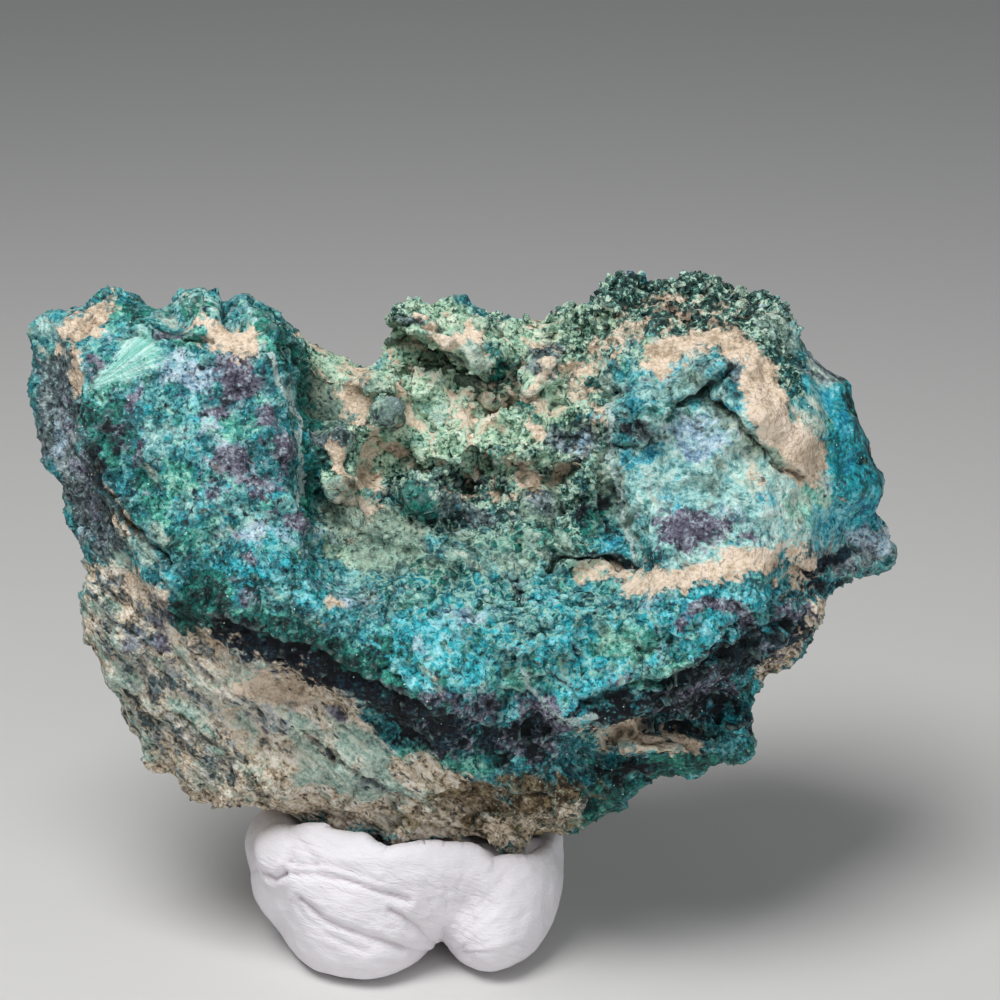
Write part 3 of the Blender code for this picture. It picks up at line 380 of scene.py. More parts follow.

# Thin pale seams that stand a little proud. The second runs along the left block's right edge, where its
# pale colour is also a painted edge highlight.
SEAMS = [
    [(5.9, -11.2), (6.6, -13), (8, -15.2), (9.8, -16.8), (11.8, -17.4), (13.4, -16.8)],
    [(-19.1, 19.6), (-17.2, 15.2), (-16.1, 12.9), (-15.9, 7.8), (-16.1, 4.4)],
    [(14.8, 14.6), (15.2, 9), (16.2, 3.6), (17.4, -1)],
]
SEAM_HALF_WIDTH = 0.24
SEAM_HEIGHT = 0.35

# Round nodules in the hollow. Their shares say how far they stand out.
NODULES = marks(
    (-4.2, 4.3, 1.7, 1.5, 0, 0.8), (-12.4, 10.4, 2.3, 2.2, 0, 0.7), (-7, 13.4, 1.8, 1.6, 0, 1.2),
    (-11.1, 6.6, 1, 0.9, 0, 1), (-10.4, 3.4, 1.1, 1, 0, 0.6), (7.9, 4.5, 2.1, 1.9, 0, 1.1),
    (-0.8, 4.6, 1.8, 1.4, 0, 0.8), (3.6, 18.2, 1.6, 1.7, 0, 1), (8.4, 18.9, 1.7, 1.4, 0, 1),
    (7.3, 14.1, 1.5, 1.4), (12.1, 16.3, 1.6, 1.6, 0, 1), (-9.1, 16.6, 1.9, 1.2),
    (-5, 22.4, 2.9, 1.6, -10, 0.7), (1.6, 23.4, 2.8, 1.5, -20), (39.6, 6, 1.6, 2.6, 0, 0.5),
)

# Where broken faces are flat.
FLATS = marks(
    (-26, 9, 11, 14), (28, 6, 10.5, 10), (39, 11.5, 4.4, 9.5, 0, 1.5), (-42, 10, 3, 12),
    (-33, 19.4, 5, 2.4, 33, 1), (-13.4, 14, 2.4, 5),
)

# Steps in the face: what lies left of the line's direction stands up by a height and falls away over a run.
LEDGES = rows_of(
    Ledge,
    ("left block's right edge", 1, 5, [
        (-15, 0), (-16.1, 4.4), (-15.9, 7.8), (-16.1, 12.9), (-17.2, 15.2), (-19.1, 19.6),
    ]),
    ("left block's left edge", 0.8, 4, [
        (-38.4, 21), (-38.2, 15), (-37.2, 9.5), (-35, 4), (-31, -1), (-27.6, -6.4),
    ]),
    ("roof", 1, 3, [
        (17.6, 11.2), (20.6, 13.2), (22.4, 14.8), (23.9, 15.9), (27, 13.4), (30, 10), (32.4, 8),
        (35.4, 6.8),
    ]),
    ("roof's slab", 0.7, 2, [(23.6, 15.8), (26.6, 18), (30.6, 16.4)]),
    ("side shelf", 0.6, 2, [(14.6, 10.6), (17.4, 9.9), (19.2, 10.8), (21, 11.2)]),
    ("slit", 0.6, 3, [
        (7.4, -3), (8.6, -2), (10.2, -0.8), (12.6, -0.3), (15, -0.9), (17.2, -1.5), (18.6, -0.4),
    ]),
    ("band's left edge", 1.1, 3.5, [
        (-27, -6), (-20, -8.6), (-14, -10.4), (-9, -13.4), (-3, -16), (3, -17.6), (8, -16.8),
    ]),
    ("band's right edge", 1.2, 3, [
        (11, -16.4), (17, -14.6), (22, -12.6), (25.5, -9.2), (27.5, -7.4), (31, -5.5), (34, -3.6),
    ]),
    ("curl", 1.3, 2.5, [(-8.4, 18.4), (-6, 17.4), (-3, 18.2), (0.8, 18)]),
    ("curl's upper layer", 0.6, 1.5, [(-8, 20.4), (-4.6, 20.8), (-1.6, 19.8), (0.6, 21)]),
    ("hollow's left lip", 1, 2, [(-10.6, 12.2), (-8.8, 11.4), (-7, 12.6), (-5.6, 15)]),
    ("hollow's middle lip", 1.1, 2.5, [
        (-6.6, 7.6), (-3.4, 7), (-0.6, 7.8), (2.6, 8.6), (6, 7.6), (9.6, 8.8),
    ]),
    ("hollow's upper lip", 0.9, 2, [(1.6, 15.6), (4, 16.6), (6.8, 15.6), (9.4, 16.4), (12, 15.6)]),
    ("hollow's right lip", 0.8, 1.8, [(7, 10.6), (9.4, 11.6), (12.4, 11), (14.6, 12)]),
    ("hollow's lower lip", 0.7, 1.8, [
        (-5, 3.2), (-1.6, 4), (1.4, 3.2), (5, 4.2), (8.4, 3.4), (12, 5.2), (14.4, 5.6),
    ]),
    ("hollow's floor", 0.6, 1.6, [(-12.6, 3), (-9.4, 1.6), (-5.6, 0.2), (-1.6, -0.4)]),
    ("right block's left edge", 0.7, 3.5, [(15.4, 14.8), (15.8, 8), (17, 2), (17.8, -1.6)]),
    ("clay's outer edge", 0.5, 1.5, [(31.8, 19.6), (28, 22.4), (23.4, 22.6), (18, 20.6), (15.6, 18)]),
    ("tan scale", 1, 1.8, [(15.2, -18.8), (17, -20.2), (20, -20.4), (23, -19.6), (25.4, -19.4)]),
    ("lower shelf", 0.8, 2, [(24, -19.6), (27, -18.4), (30.2, -17.4), (33, -15.6)]),
    ("belly's edge", 0.7, 3, [(-14.8, -19.6), (-11, -22.6), (-6, -25), (-1, -26.6)]),
    ("fan's rim", 0.35, 2, [(-28.6, 22), (-31, 21.4), (-34.6, 19.4), (-36.6, 16.4)]),
)

# On the sides and the back there are no named patches. Each mineral shows where its own cloud is thick
# enough: the cloud's size, and how much is added to it.
BACK_SHARES = {
    "aqua": (9, 0.1), "turquoise": (10, 0.26), "jade": (8, 0.16), "malachite": (10, 0.16),
    "crust": (9, 0.06), "olive": (9, 0.08), "emerald": (9, 0.16), "matrix": (20, 0.66), "sage": (10, 0.36),
    "slate": (9, 0.14), "lavender": (8, -0.9), "purple": (8, -0.04), "sky": (8, -0.9), "mint": (8, -0.9),
    "clay": (9, 0.08), "dirt": (10, 0.04), "deep": (7, -0.16),
}

# How far the patches' edges wander, in millimetres, and how far the lines of the face do.
EDGE_DRIFT = 0.7
LINE_DRIFT = 0.5

# Minerals that leave no room for the others' sprinkles.
PURE = ("malachite", "olive", "matrix", "sage", "mint", "clay", "deep")

# Where the blue band is beaded.
BEADED = marks((1, -2.6, 13, 4.4), (10, -8, 10, 5), (7, 1.2, 7, 2.4))

# The smooth rim of the right block.
RIM = Vein(2.8, [(36.5, 19), (39, 13), (40.6, 7)], 1)

# How far apart the hollow's clumps of malachite are, and how much clay lies between them.
CLUMP = 2.9
CLUMP_CLAY = 0.62

# How broad the relief's forms are, in millimetres.
SWELL = 3.4
BROAD_FACET, MIDDLE_FACET, SMALL_FACET = 3.3, 1.5, 0.8
DOME = 1.2
CRUMB = 1.1
SPIKE = 1.6
RIB = 1.4
THREAD = 0.75

# Ways across the face that patterns follow: the lower matrix's ribs, and the satin fan's apex, middle line,
# half spread and reach.
STREAK_ANGLE = math.radians(-42.0)
STREAK_WAY = RIGHT * math.cos(STREAK_ANGLE) + UP * math.sin(STREAK_ANGLE)
FAN_APEX = (-36.9, 16.1)
FAN_TURN = math.radians(39.0)
FAN_SPREAD = math.radians(20.0)
FAN_REACH = 8.6

# The putty's folds and creases: positive depths cut in, negative ones stand out.
FOLDS = rows_of(
    Crack,
    ("knot", 0.5, 0.3, [(-21.1, -32.6), (-19.6, -32.2), (-18.1, -32.8), (-17.2, -32.5)]),
    ("knot's curl", 0.28, 0.3, [(-17.4, -32.4), (-16.5, -31.2), (-16.1, -29.9), (-16.8, -28.4)]),
    ("upper fold", 0.38, 0.28, [
        (-17.2, -32.2), (-14.6, -32.4), (-11.4, -32.8), (-7.8, -34), (-5.2, -34.9),
    ]),
    ("upper fold's twin", 0.24, 0.28, [(-16.6, -31.4), (-13.4, -31.6), (-10.6, -32), (-7.6, -33.2)]),
    ("roll", -0.6, 1.5, [(-15, -33.8), (-11.4, -35.2), (-7.6, -36.5), (-4.4, -37.9)]),
    ("lower fold", 0.5, 0.36, [(-15.6, -34.6), (-13.4, -36.9), (-9.7, -38.1), (-6, -38.7), (-2.6, -39.1)]),
    ("lower fold's twin", 0.22, 0.34, [(-16, -35.2), (-15, -36.8), (-12.8, -38.2), (-9.6, -39.2)]),
    ("notch crease", 0.4, 0.26, [(-7, -35.6), (-4.6, -36.8), (-2.3, -38.5)]),
    ("notch", 1.5, 0.6, [(-1.8, -38.8), (-1.5, -42.4)]),
    ("right crease", 0.28, 0.3, [(-1.6, -38.4), (0.8, -39.5)]),
    ("low right crease", 0.24, 0.3, [(-1.4, -39.6), (1.4, -40.8)]),
    ("lobe seam", 0.3, 0.28, [(0.6, -41.6), (3, -42), (6.4, -40.9), (8.6, -38.8)]),
    ("shoulder crease", 0.25, 0.34, [(-16.2, -28.6), (-15.2, -30), (-14.2, -31.4)]),
    ("shoulder", -0.35, 1.6, [(-19, -28.6), (-16.8, -29.6)]),
    ("filled seam", -0.3, 1.2, [(2.3, -28.6), (2.3, -33.4)]),
    ("dent", 0.45, 2.6, [(-5, -33.6), (-1, -34.2), (2, -34.6)]),
)

# The putty's soft swells, how far it rises where it faces up, and its broad bulges: a height, a middle and
# half sizes.
PUTTY_SWELL = 0.25
PUTTY_RISE = 0.5
BULGES = [(1.1, -20.5, -28.6, 2.6, 2.4), (-1, -18.4, -38.4, 3, 3)]

# The toes at the putty's foot: each one's share of the way forward, its middle and its half width.
TOE_FORWARD = 2.6
TOES = [(1, -7.5, 6.5), (0.8, 3.6, 4)]

# Where the wrinkles meet, and the way that the fine creases run.
NOTCH = (-1.6, -39.6)
FOLD_ANGLE = math.radians(-20.0)
FOLD_WAY = RIGHT * math.cos(FOLD_ANGLE) + UP * math.sin(FOLD_ANGLE)


def linear(code):
    """A colour's linear values from its usual six hex digits."""
    parts = [part / 255.0 for part in bytes.fromhex(code)]
    return tuple(part / 12.92 if part <= 0.04045 else ((part + 0.055) / 1.055) ** 2.4 for part in parts)


def colour(name, code):
    return FloatVectorProperty(
        name=name, description=name, subtype="COLOR", size=3, min=0.0, max=1.0, default=linear(code)
    )


def length(name, description, millimetres):
    return FloatProperty(
        name=name, description=description, subtype="DISTANCE", unit="LENGTH", default=millimetres * MM
    )


def power(name, description, watts):
    return FloatProperty(name=name, description=description, unit="POWER", default=watts)


# A dark, a middle and a light shade of each mineral, and where on its ramp each shade lies.
SHADES = {
    "chrysocolla": ("07363d", "207c87", "79c3c1"),
    "aqua": ("5a9ba0", "a4d8d3", "d8f0e8"),
    "turquoise": ("055f6c", "2dbac8", "a4eaf2"),
    "jade": ("0f5f52", "45a596", "a6e0ca"),
    "emerald": ("02211f", "065e58", "329a84"),
    "malachite": ("3e6b58", "aed4b6", "e2ebd2"),
    "crust": ("0c2d27", "407a6e", "c6dcc4"),
    "olive": ("46635a", "80998a", "b0c2ac"),
    "matrix": ("3f3c3b", "d0bda2", "f4ecdf"),
    "sage": ("5d766c", "9dbbb0", "d3ddcd"),
    "slate": ("1c2627", "586a6e", "a3aeb0"),
    "lavender": ("5f7f99", "99bacd", "cbdfe9"),
    "purple": ("22202e", "625f72", "9fa4b2"),
    "sky": ("0a6a86", "33a8be", "93dade"),
    "mint": ("4fb3a0", "a4ddd3", "e0f7f0"),
    "clay": ("b09b84", "dcc8b0", "f0deca"),
    "dirt": ("3d3122", "77664b", "a3957a"),
    "deep": ("020309", "0b1320", "1b3a48"),
}
STEPS = {"dark": 0.05, "middle": 0.5, "light": 0.95}

# What is laid over the minerals: their own rims, specks, flecks and clay cracks, pale seams and specks that
# are partly painted highlights, painted shade in the hollows and cracks, and a painted highlight on the
# edges.
OVERLAYS = {
    "grain rims": "a3ccb8", "seams": "bcd3d0", "pale specks and painted glints": "a9dcd6", "dark specks": "06171a",
    "flecks": "2b3b42", "clay cracks": "5d5040", "hollow_shade": "0c1815", "cracks": "0f2426",
    "painted edge highlight": "bddfd6",
}


class StoneColours(bpy.types.PropertyGroup):
    """Three shades of each mineral, from dark to light."""

    __annotations__ = {
        f"{mineral}_{step}": colour(f"{mineral.capitalize()}, {step}", code)
        for mineral, codes in SHADES.items() for step, code in zip(STEPS, codes)
    }


class StoneSizes(bpy.types.PropertyGroup):
    """How fine the stone's mesh is, and how big its relief and grains are."""

    voxel: length("Voxel", "Edge length of the stone's mesh on its back and sides", 0.56)
    settle: length("Settle", "How far the smooth stone lies inside its solid, under the relief", 0.7)
    swell: length("Swells", "Height of the soft swells of the broken surface", 0.35)
    facet: length("Facets", "Height of the steps between the facets of broken rock", 1.6)
    dome: length("Domes", "Height of the round domes of the blue band", 0.30)
    crumble: length("Crumbs", "Height of the crumbs of the hollow", 0.60)
    spike: length("Spikes", "Height of the crust's spikes", 0.50)
    thread: length("Threads", "Height of the curl's threads and of the layers", 0.75)
    rib: length("Ribs", "Height of the ribs of the lower matrix", 0.55)
    bead_spacing: length("Bead spacing", "Least distance between the chrysocolla beads", 0.80)
    crumb_spacing: length("Crumb spacing", "Least distance between the malachite crumbs", 0.62)
    crystal_spacing: length("Crystal spacing", "Least distance between the crust's crystals", 0.70)
    spark_spacing: length("Spark spacing", "Least distance between the clear crystals", 1.60)
    seed: IntProperty(name="Seed", description="Changes where the grains fall", default=7, min=0)


class PuttySizes(bpy.types.PropertyGroup):
    """The putty's mesh, wrinkles and colours: its own colour and the painted shade in its creases."""

    voxel: length("Voxel", "Edge length of the putty's mesh", 0.26)
    plump: length("Plump", "How far the putty swells past its solid", 0.66)
    wrinkle: length("Wrinkles", "Height of the stretch wrinkles round the notch", 0.10)
    light: colour("Putty, light", "f0edf2")
    # The colour painted as shade in the putty's creases.
    shade: colour("Putty, painted crease shade", "d9cfd3")


class StageLook(bpy.types.PropertyGroup):
    """The floor, the lights and the camera."""

    floor: colour("Floor", "d6d5d3")
    key_power: power("Key light", "Power of the soft light above", 1.78)
    fill_power: power("Fill light", "Power of the soft light in front", 0.48)
    sky_strength: FloatProperty(name="Sky", description="Strength of the even light", default=0.19)
    camera_distance: length("Camera distance", "From the camera to the middle of the view", 296.0)
    view_width: length("View width", "Width of the view at that distance", 100.0)


# Shader boards

# The noise node's own values lie about the middle, so they are stretched to fill the range from 0 to 1.
NOISE_STRETCH = 2.4
NOISE_DROP = 0.7


def add_node(tree, kind, settings, inputs):
    """Adds a node: its settings come first, then each socket's value or link, by name or number."""
    node = tree.nodes.new(kind)
    for name, value in (settings or {}).items():
        setattr(node, name, value)
    for key, value in (inputs or {}).items():
        if isinstance(value, bpy.types.NodeSocket):
            tree.links.new(value, node.inputs[key])
        else:
            node.inputs[key].default_value = value
    return node


class Wire:
    """A value in a material. Arithmetic on it adds the Math nodes that work it out."""

    def __init__(self, board, socket):
        self.board = board
        self.socket = socket

    def __add__(self, other):
        return self.board.maths("ADD", self, other)

    def __sub__(self, other):
        return self.board.maths("SUBTRACT", self, other)

    def __rsub__(self, other):
        return self.board.maths("SUBTRACT", other, self)

    def __mul__(self, other):
        return self.board.maths("MULTIPLY", self, other)

    __radd__ = __add__
    __rmul__ = __mul__


class Board:
    """A material and its nodes."""

    def __init__(self, name):
        self.material = bpy.data.materials.new(name)
        self.material.use_nodes = True
        self.tree = self.material.node_tree
        self.tree.nodes.clear()

    def node(self, kind, settings=None, inputs=None):
        inputs = (inputs or {}).items()
        inputs = {key: value.socket if isinstance(value, Wire) else value for key, value in inputs}
        return add_node(self.tree, kind, settings, inputs)

    def out(self, node, key=0):
        return Wire(self, node.outputs[key])

    def maths(self, operation, first, second):
        return self.out(self.node("ShaderNodeMath", {"operation": operation}, {0: first, 1: second}))

    def place(self):
        """The place on the object, in millimetres."""
        coordinates = self.out(self.node("ShaderNodeTexCoord"), "Object")
        return self.vector("SCALE", coordinates, scale=1.0 / MM)

    def vector(self, operation, first, second=None, scale=None):
        inputs = {0: first, 1: second, "Scale": scale}
        inputs = {key: value for key, value in inputs.items() if value is not None}
        node = self.node("ShaderNodeVectorMath", {"operation": operation}, inputs)
        return self.out(node, "Value" if operation == "DOT_PRODUCT" else "Vector")

    def reach(self, place, way):
        """How far the place lies along a way."""
        return self.vector("DOT_PRODUCT", place, tuple(way))

    def attribute(self, name):
        return self.out(self.node("ShaderNodeAttribute", {"attribute_name": name}), "Fac")

    def smooth(self, value, low, high):
        """0 below low and 1 above high, with a soft step between them."""
        settings = {"interpolation_type": "SMOOTHSTEP"}
        inputs = {"Value": value, "From Min": low, "From Max": high, "To Min": 0.0, "To Max": 1.0}
        return self.out(self.node("ShaderNodeMapRange", settings, inputs), "Result")

    def noise(self, place, size, detail=4.0, rough=0.55, distortion=0.0, shift=0.0):
        """Cloudy noise, stretched so that it fills the range from 0 to 1."""
        if shift:
            place = self.vector("ADD", place, (shift, -2.0 * shift, shift))
        inputs = {"Vector": place, "Scale": 1.0 / size, "Detail": detail, "Roughness": rough}
        cloud = self.out(self.node("ShaderNodeTexNoise", None, {**inputs, "Distortion": distortion}), "Fac")
        return cloud * NOISE_STRETCH - NOISE_DROP

    def cells(self, place, size, feature="F1"):
        inputs = {"Vector": place, "Scale": 1.0 / size, "Randomness": 1.0}
        return self.node("ShaderNodeTexVoronoi", {"feature": feature}, inputs)

    def pick(self, cells):
        """Two random numbers for each cell."""
        parts = self.node("ShaderNodeSeparateColor", None, {"Color": self.out(cells, "Color")})
        return self.out(parts, "Red"), self.out(parts, "Green")

    def draw(self, cells, number):
        """One more random number for each cell, and another one for each number asked for."""
        inputs = {"Vector": self.out(cells, "Color"), "W": float(number)}
        return self.out(self.node("ShaderNodeTexWhiteNoise", {"noise_dimensions": "4D"}, inputs), "Value")

    def combine(self, **parts):
        """A vector from its X, Y and Z, of which those left out are 0."""
        return self.out(self.node("ShaderNodeCombineXYZ", None, parts))

    def ramp(self, value, stops):
        """The colour at the value on a ramp of stops: a position and a shade each."""
        node = self.node("ShaderNodeValToRGB", None, {"Fac": value})
        elements = node.color_ramp.elements
        while len(elements) < len(stops):
            elements.new(1.0)
        for element, (position, shade) in zip(elements, stops):
            element.position = position
            element.color = (*shade, 1.0)
        return self.out(node, "Color")

    def over(self, shade, share, name):
        """Lays a share of one of the overlays over a shade."""
        return self.mix(share, shade, linear(OVERLAYS[name]))

    def mix(self, share, first, second):
        settings = {"data_type": "RGBA", "clamp_factor": True}
        first, second = [shade if isinstance(shade, Wire) else (*shade, 1.0) for shade in (first, second)]
        return self.out(self.node("ShaderNodeMix", settings, {0: share, 6: first, 7: second}), 2)

    def bump(self, height, depth, strength):
        inputs = {"Height": height, "Distance": depth, "Strength": strength}
        return self.out(self.node("ShaderNodeBump", None, inputs), "Normal")

    def finish(self, shade, roughness, normal, constants=None):
        """Ends the board in a Principled surface, and returns the material."""
        inputs = {"Base Color": shade, "Roughness": roughness, "Normal": normal, **(constants or {})}
        shader = self.node("ShaderNodeBsdfPrincipled", None, inputs)
        self.node("ShaderNodeOutputMaterial", None, {"Surface": self.out(shader, "BSDF")})
        return self.material


def shades(look, mineral):
    """A mineral's ramp, from its dark to its light shade."""
    return [(stop, tuple(getattr(look, f"{mineral}_{step}"))) for step, stop in STEPS.items()]


# How each mineral breaks up: its shares of the grains, the specks, the middle and the coarse noise, and how
# soft its edge is.
EDGES = {
    "aqua": (0.20, 0.10, 0.60, 0.3, 0.28),
    "turquoise": (0.35, 0.20, 0.60, 0.2, 0.16),
    "jade": (0.35, 0.15, 0.70, 0.2, 0.16),
    "malachite": (0.10, 0.20, 0.60, 0.3, 0.20),
    "crust": (0.20, 0.30, 0.60, 0.2, 0.14),
    "olive": (0.05, 0.05, 0.45, 0.2, 0.25),
    "emerald": (0.35, 0.15, 0.70, 0.2, 0.14),
    "matrix": (0.00, 0.10, 0.60, 0.4, 0.14),
    "sage": (0.00, 0.10, 0.90, 0.3, 0.20),
    "slate": (0.10, 0.20, 0.80, 0.2, 0.18),
    "lavender": (0.25, 0.20, 0.60, 0.3, 0.16),
    "purple": (0.15, 0.22, 0.70, 0.2, 0.16),
    "sky": (0.30, 0.20, 0.60, 0.3, 0.18),
    "mint": (0.00, 0.25, 0.60, 0.1, 0.20),
    "clay": (0.00, 0.30, 0.70, 0.3, 0.16),
    "dirt": (0.10, 0.20, 0.80, 0.3, 0.20),
    "deep": (0.25, 0.25, 0.80, 0.2, 0.14),
}

# How strongly the breaking up shifts a mineral's share.
RAGGED = 0.8

# The minerals that follow the streaks, and which of the streaks.
STREAKY = {"matrix": 0, "sage": 1, "slate": 2, "dirt": 1}

# Sizes of the grains and the specks, in millimetres.
GRAIN = 1.25
SPECK = 0.38

# How rough the stone is, and the minerals that have a roughness of their own.
BASE_ROUGHNESS = 0.5
ROUGHNESS = {
    "clay": 0.95, "matrix": 0.9, "sage": 0.9, "dirt": 0.9, "malachite": 0.85, "crust": 0.6, "olive": 0.8,
    "mint": 0.42, "deep": 0.75, "purple": 0.65,
}

# How much light the surfaces throw back as a gloss.
STONE_SHINE = 0.34
PUTTY_SHINE = 0.3


Rock = namedtuple("Rock", "place warped drawn_out coarse middle fine streak broad_streak grains specks gap")


def stone_textures(board):
    """The noises, grains and streaks that the stone's minerals share."""
    place = board.place()
    waves = board.node("ShaderNodeTexNoise", None, {"Vector": place, "Scale": 0.8, "Detail": 2.0})
    waves = board.vector("SUBTRACT", board.out(waves, "Color"), (0.5, 0.5, 0.5))
    warped = board.vector("ADD", place, board.vector("SCALE", waves, scale=0.8))
    along, across = board.reach(place, STREAK_WAY), board.reach(place, STREAK_WAY.cross(OUT))
    drawn_out = board.combine(X=along * 0.34, Y=across, Z=board.reach(place, OUT) * 0.6)
    return Rock(
        place=place,
        warped=warped,
        drawn_out=drawn_out,
        coarse=board.noise(place, 5.0, 3.0, 0.6),
        middle=board.noise(warped, 1.5, 3.0, 0.6),
        fine=board.noise(place, 0.42, 2.0, 0.65),
        streak=board.noise(drawn_out, 0.8, 3.0, 0.65),
        broad_streak=board.noise(drawn_out, 1.7, 2.0, 0.6, shift=9.0),
        grains=board.cells(warped, GRAIN),
        specks=board.cells(warped, SPECK),
        gap=board.out(board.cells(warped, GRAIN, "DISTANCE_TO_EDGE"), "Distance"),
    )


def satin(board, place):
    """Threads that run out from the satin fan's apex."""
    apex = FACE_ORIGIN / MM + RIGHT * (FAN_APEX[0] + 1.5) + UP * (FAN_APEX[1] - 0.5)
    from_apex = board.vector("SUBTRACT", place, tuple(apex))
    right = board.reach(from_apex, RIGHT)
    spoke = board.maths("ARCTAN2", board.reach(from_apex, UP), right)
    return board.noise(board.combine(X=spoke * 11.0, Y=right * 0.06), 0.55, 3.0, 0.6)


def lay_minerals(board, rock, look):
    """The minerals' shade and roughness, and how much of each one shows."""
    pick, other_pick = board.pick(rock.grains)
    speck, other_speck = board.pick(rock.specks)
    fine, streak = rock.fine, rock.streak
    # On the stone the tone holds painted light and shade as well as its own tone; on the grains it is a
    # random tone.
    tone = board.attribute("tone") - 0.5
    mottle = (rock.coarse - 0.5) * 0.4 + (rock.middle - 0.5) * 1.05 + (fine - 0.5) * 0.9 + tone + 0.5
    # What each mineral's ramp follows. The others follow the mottle alone.
    own = {
        "chrysocolla": mottle * 0.65 + pick * 0.35,
        "turquoise": mottle * 0.6 + pick * 0.4,
        "emerald": mottle * 0.7 + other_pick * 0.3,
        "jade": mottle * 0.65 + other_pick * 0.35,
        "matrix": (streak - 0.5) * 1.1 + (fine - 0.5) * 0.8 + tone + 0.56,
        "sage": (streak - 0.5) * 0.8 + (fine - 0.5) * 0.8 + tone + 0.52,
        "slate": streak * 0.5 + mottle * 0.7 - 0.1,
        "sky": mottle * 0.7 + pick * 0.3,
        "aqua": mottle * 0.75 + pick * 0.25,
        "purple": (mottle - 0.5) * 0.7 + speck * 0.3 + 0.36,
        "olive": (mottle - 0.5) * 0.7 + 0.5,
        "mint": satin(board, rock.place),
        "malachite": mottle * 0.7 + other_speck * 0.3,
        "crust": (mottle - 0.5) * 1.35 + speck * 0.7 + 0.07,
    }
    streaks = [streak, rock.broad_streak, 1.0 - rock.broad_streak]
    clouds = [board.noise(rock.warped, 1.5, 2.0, 0.6, shift=3.7 * number) for number in range(1, 5)]
    clouds = clouds + [1.0 - cloud for cloud in clouds]
    shade = board.ramp(own["chrysocolla"], shades(look, "chrysocolla"))
    roughness = fine * 0.25 + (BASE_ROUGHNESS - 0.12)
    masks = {}
    for number, (mineral, edge) in enumerate(EDGES.items()):
        on_grains, on_specks, on_middle, on_coarse, softness = edge
        cloud = streaks[STREAKY[mineral]] if mineral in STREAKY else clouds[number % len(clouds)]
        ragged = (board.draw(rock.grains, number) - 0.5) * on_grains
        ragged = ragged + (board.draw(rock.specks, number) - 0.5) * on_specks
        ragged = ragged + (cloud - 0.5) * on_middle + (rock.coarse - 0.5) * on_coarse
        mask = board.smooth(board.attribute(mineral) + ragged * RAGGED, 0.5 - softness, 0.5 + softness)
        shade = board.mix(mask, shade, board.ramp(own.get(mineral, mottle), shades(look, mineral)))
        if mineral in ROUGHNESS:
            roughness = roughness * (1.0 - mask) + mask * ROUGHNESS[mineral]
        masks[mineral] = mask
    return shade, roughness, masks


def lay_overlays(board, rock, masks, shade):
    """The shade with the grains' rims, pale seams and specks that are partly painted highlights, dark
    specks, flecks and clay cracks, painted shade in the cracks and hollows, and a painted highlight on the
    edges.
    """
    fine, middle = rock.fine, rock.middle
    beads = board.smooth(board.attribute("beaded") + (rock.coarse - 0.5) * 0.6, 0.3, 0.7)
    rims = board.smooth(rock.gap, 0.10, 0.03) * board.smooth(middle * 0.6 + fine * 0.4, 0.35, 0.48) * beads
    shade = board.over(shade, rims * (1.0 - masks["deep"]) * 0.72, "grain rims")
    # The pale seams; along the left block's right edge this is also a painted edge highlight.
    seam = board.smooth(board.attribute("seam") + (fine - 0.5) * 0.12, 0.62, 0.80)
    shade = board.over(shade, seam * 0.9, "seams")

    bare = board.smooth(masks["matrix"] + masks["clay"] + masks["sage"] + masks["mint"], 0.9, 0.1)
    bare = bare * (1.0 - board.attribute("calm") * 0.8) * (1.0 - beads * 0.5)
    speck, other_speck = board.pick(rock.specks)
    # Pale specks: partly pale grains, and partly painted glints.
    pale = board.smooth(speck * 0.45 + fine * 0.55, 0.74, 0.80)
    pale = pale * bare * (1.0 - masks["deep"] * 0.7) * (1.0 - masks["emerald"] * 0.6)
    shade = board.over(shade, pale * 0.4, "pale specks and painted glints")
    dark = board.smooth(other_speck * 0.4 + (1.0 - fine) * 0.6, 0.67, 0.73)
    shade = board.over(shade, dark * bare * (1.0 - masks["aqua"] * 0.6) * 0.7, "dark specks")

    flecks = board.smooth(board.noise(rock.drawn_out, 0.42, 2.0, 0.6, shift=5.0), 0.70, 0.84)
    flecks = flecks * board.smooth(rock.broad_streak, 0.5, 0.35)
    shade = board.over(shade, flecks * (masks["matrix"] + masks["sage"]) * 0.8, "flecks")
    cracked = board.smooth(rock.gap, 0.035, 0.008) * board.smooth(middle, 0.56, 0.7) * masks["clay"]
    shade = board.over(shade, cracked * 0.5, "clay cracks")
    # Painted shade: the colour darkens in the surface's hollows, where shade would fall.
    hollow = board.smooth(board.attribute("hollow"), 0.1, 0.9) * (bare * 0.5 + 0.35)
    shade = board.over(shade, hollow, "hollow_shade")
    # Painted shade: the narrow cracks are darkened, where shade falls in them.
    crack = board.smooth(board.attribute("crack") + (middle - 0.5) * 0.45, 0.70, 0.98)
    shade = board.over(shade, crack * 0.75, "cracks")
    # A painted highlight: the colour lightens on the edges that stand out, where light would catch them.
    return board.over(shade, board.smooth(board.attribute("edge"), 0.2, 1.0) * 0.22, "painted edge highlight")


def stone_material(look):
    board = Board(MINERAL_FINISH)
    rock = stone_textures(board)
    shade, roughness, masks = lay_minerals(board, rock, look)
    shade = lay_overlays(board, rock, masks, shade)
    domes = board.smooth(board.out(board.cells(rock.place, 1.05), "Distance"), 0.75, 0.0)
    height = domes * board.attribute("beaded") * 0.4 + board.noise(rock.place, 1.2, 4.0, 0.65) * 0.9
    height = height + rock.streak * board.attribute("ribbed") * 0.9
    height = height * (1.0 - board.attribute("calm") * 0.6)
    normal = board.bump(height, 0.4 * MM, 0.9)
    return board.finish(shade, roughness, normal, {"Specular IOR Level": STONE_SHINE})


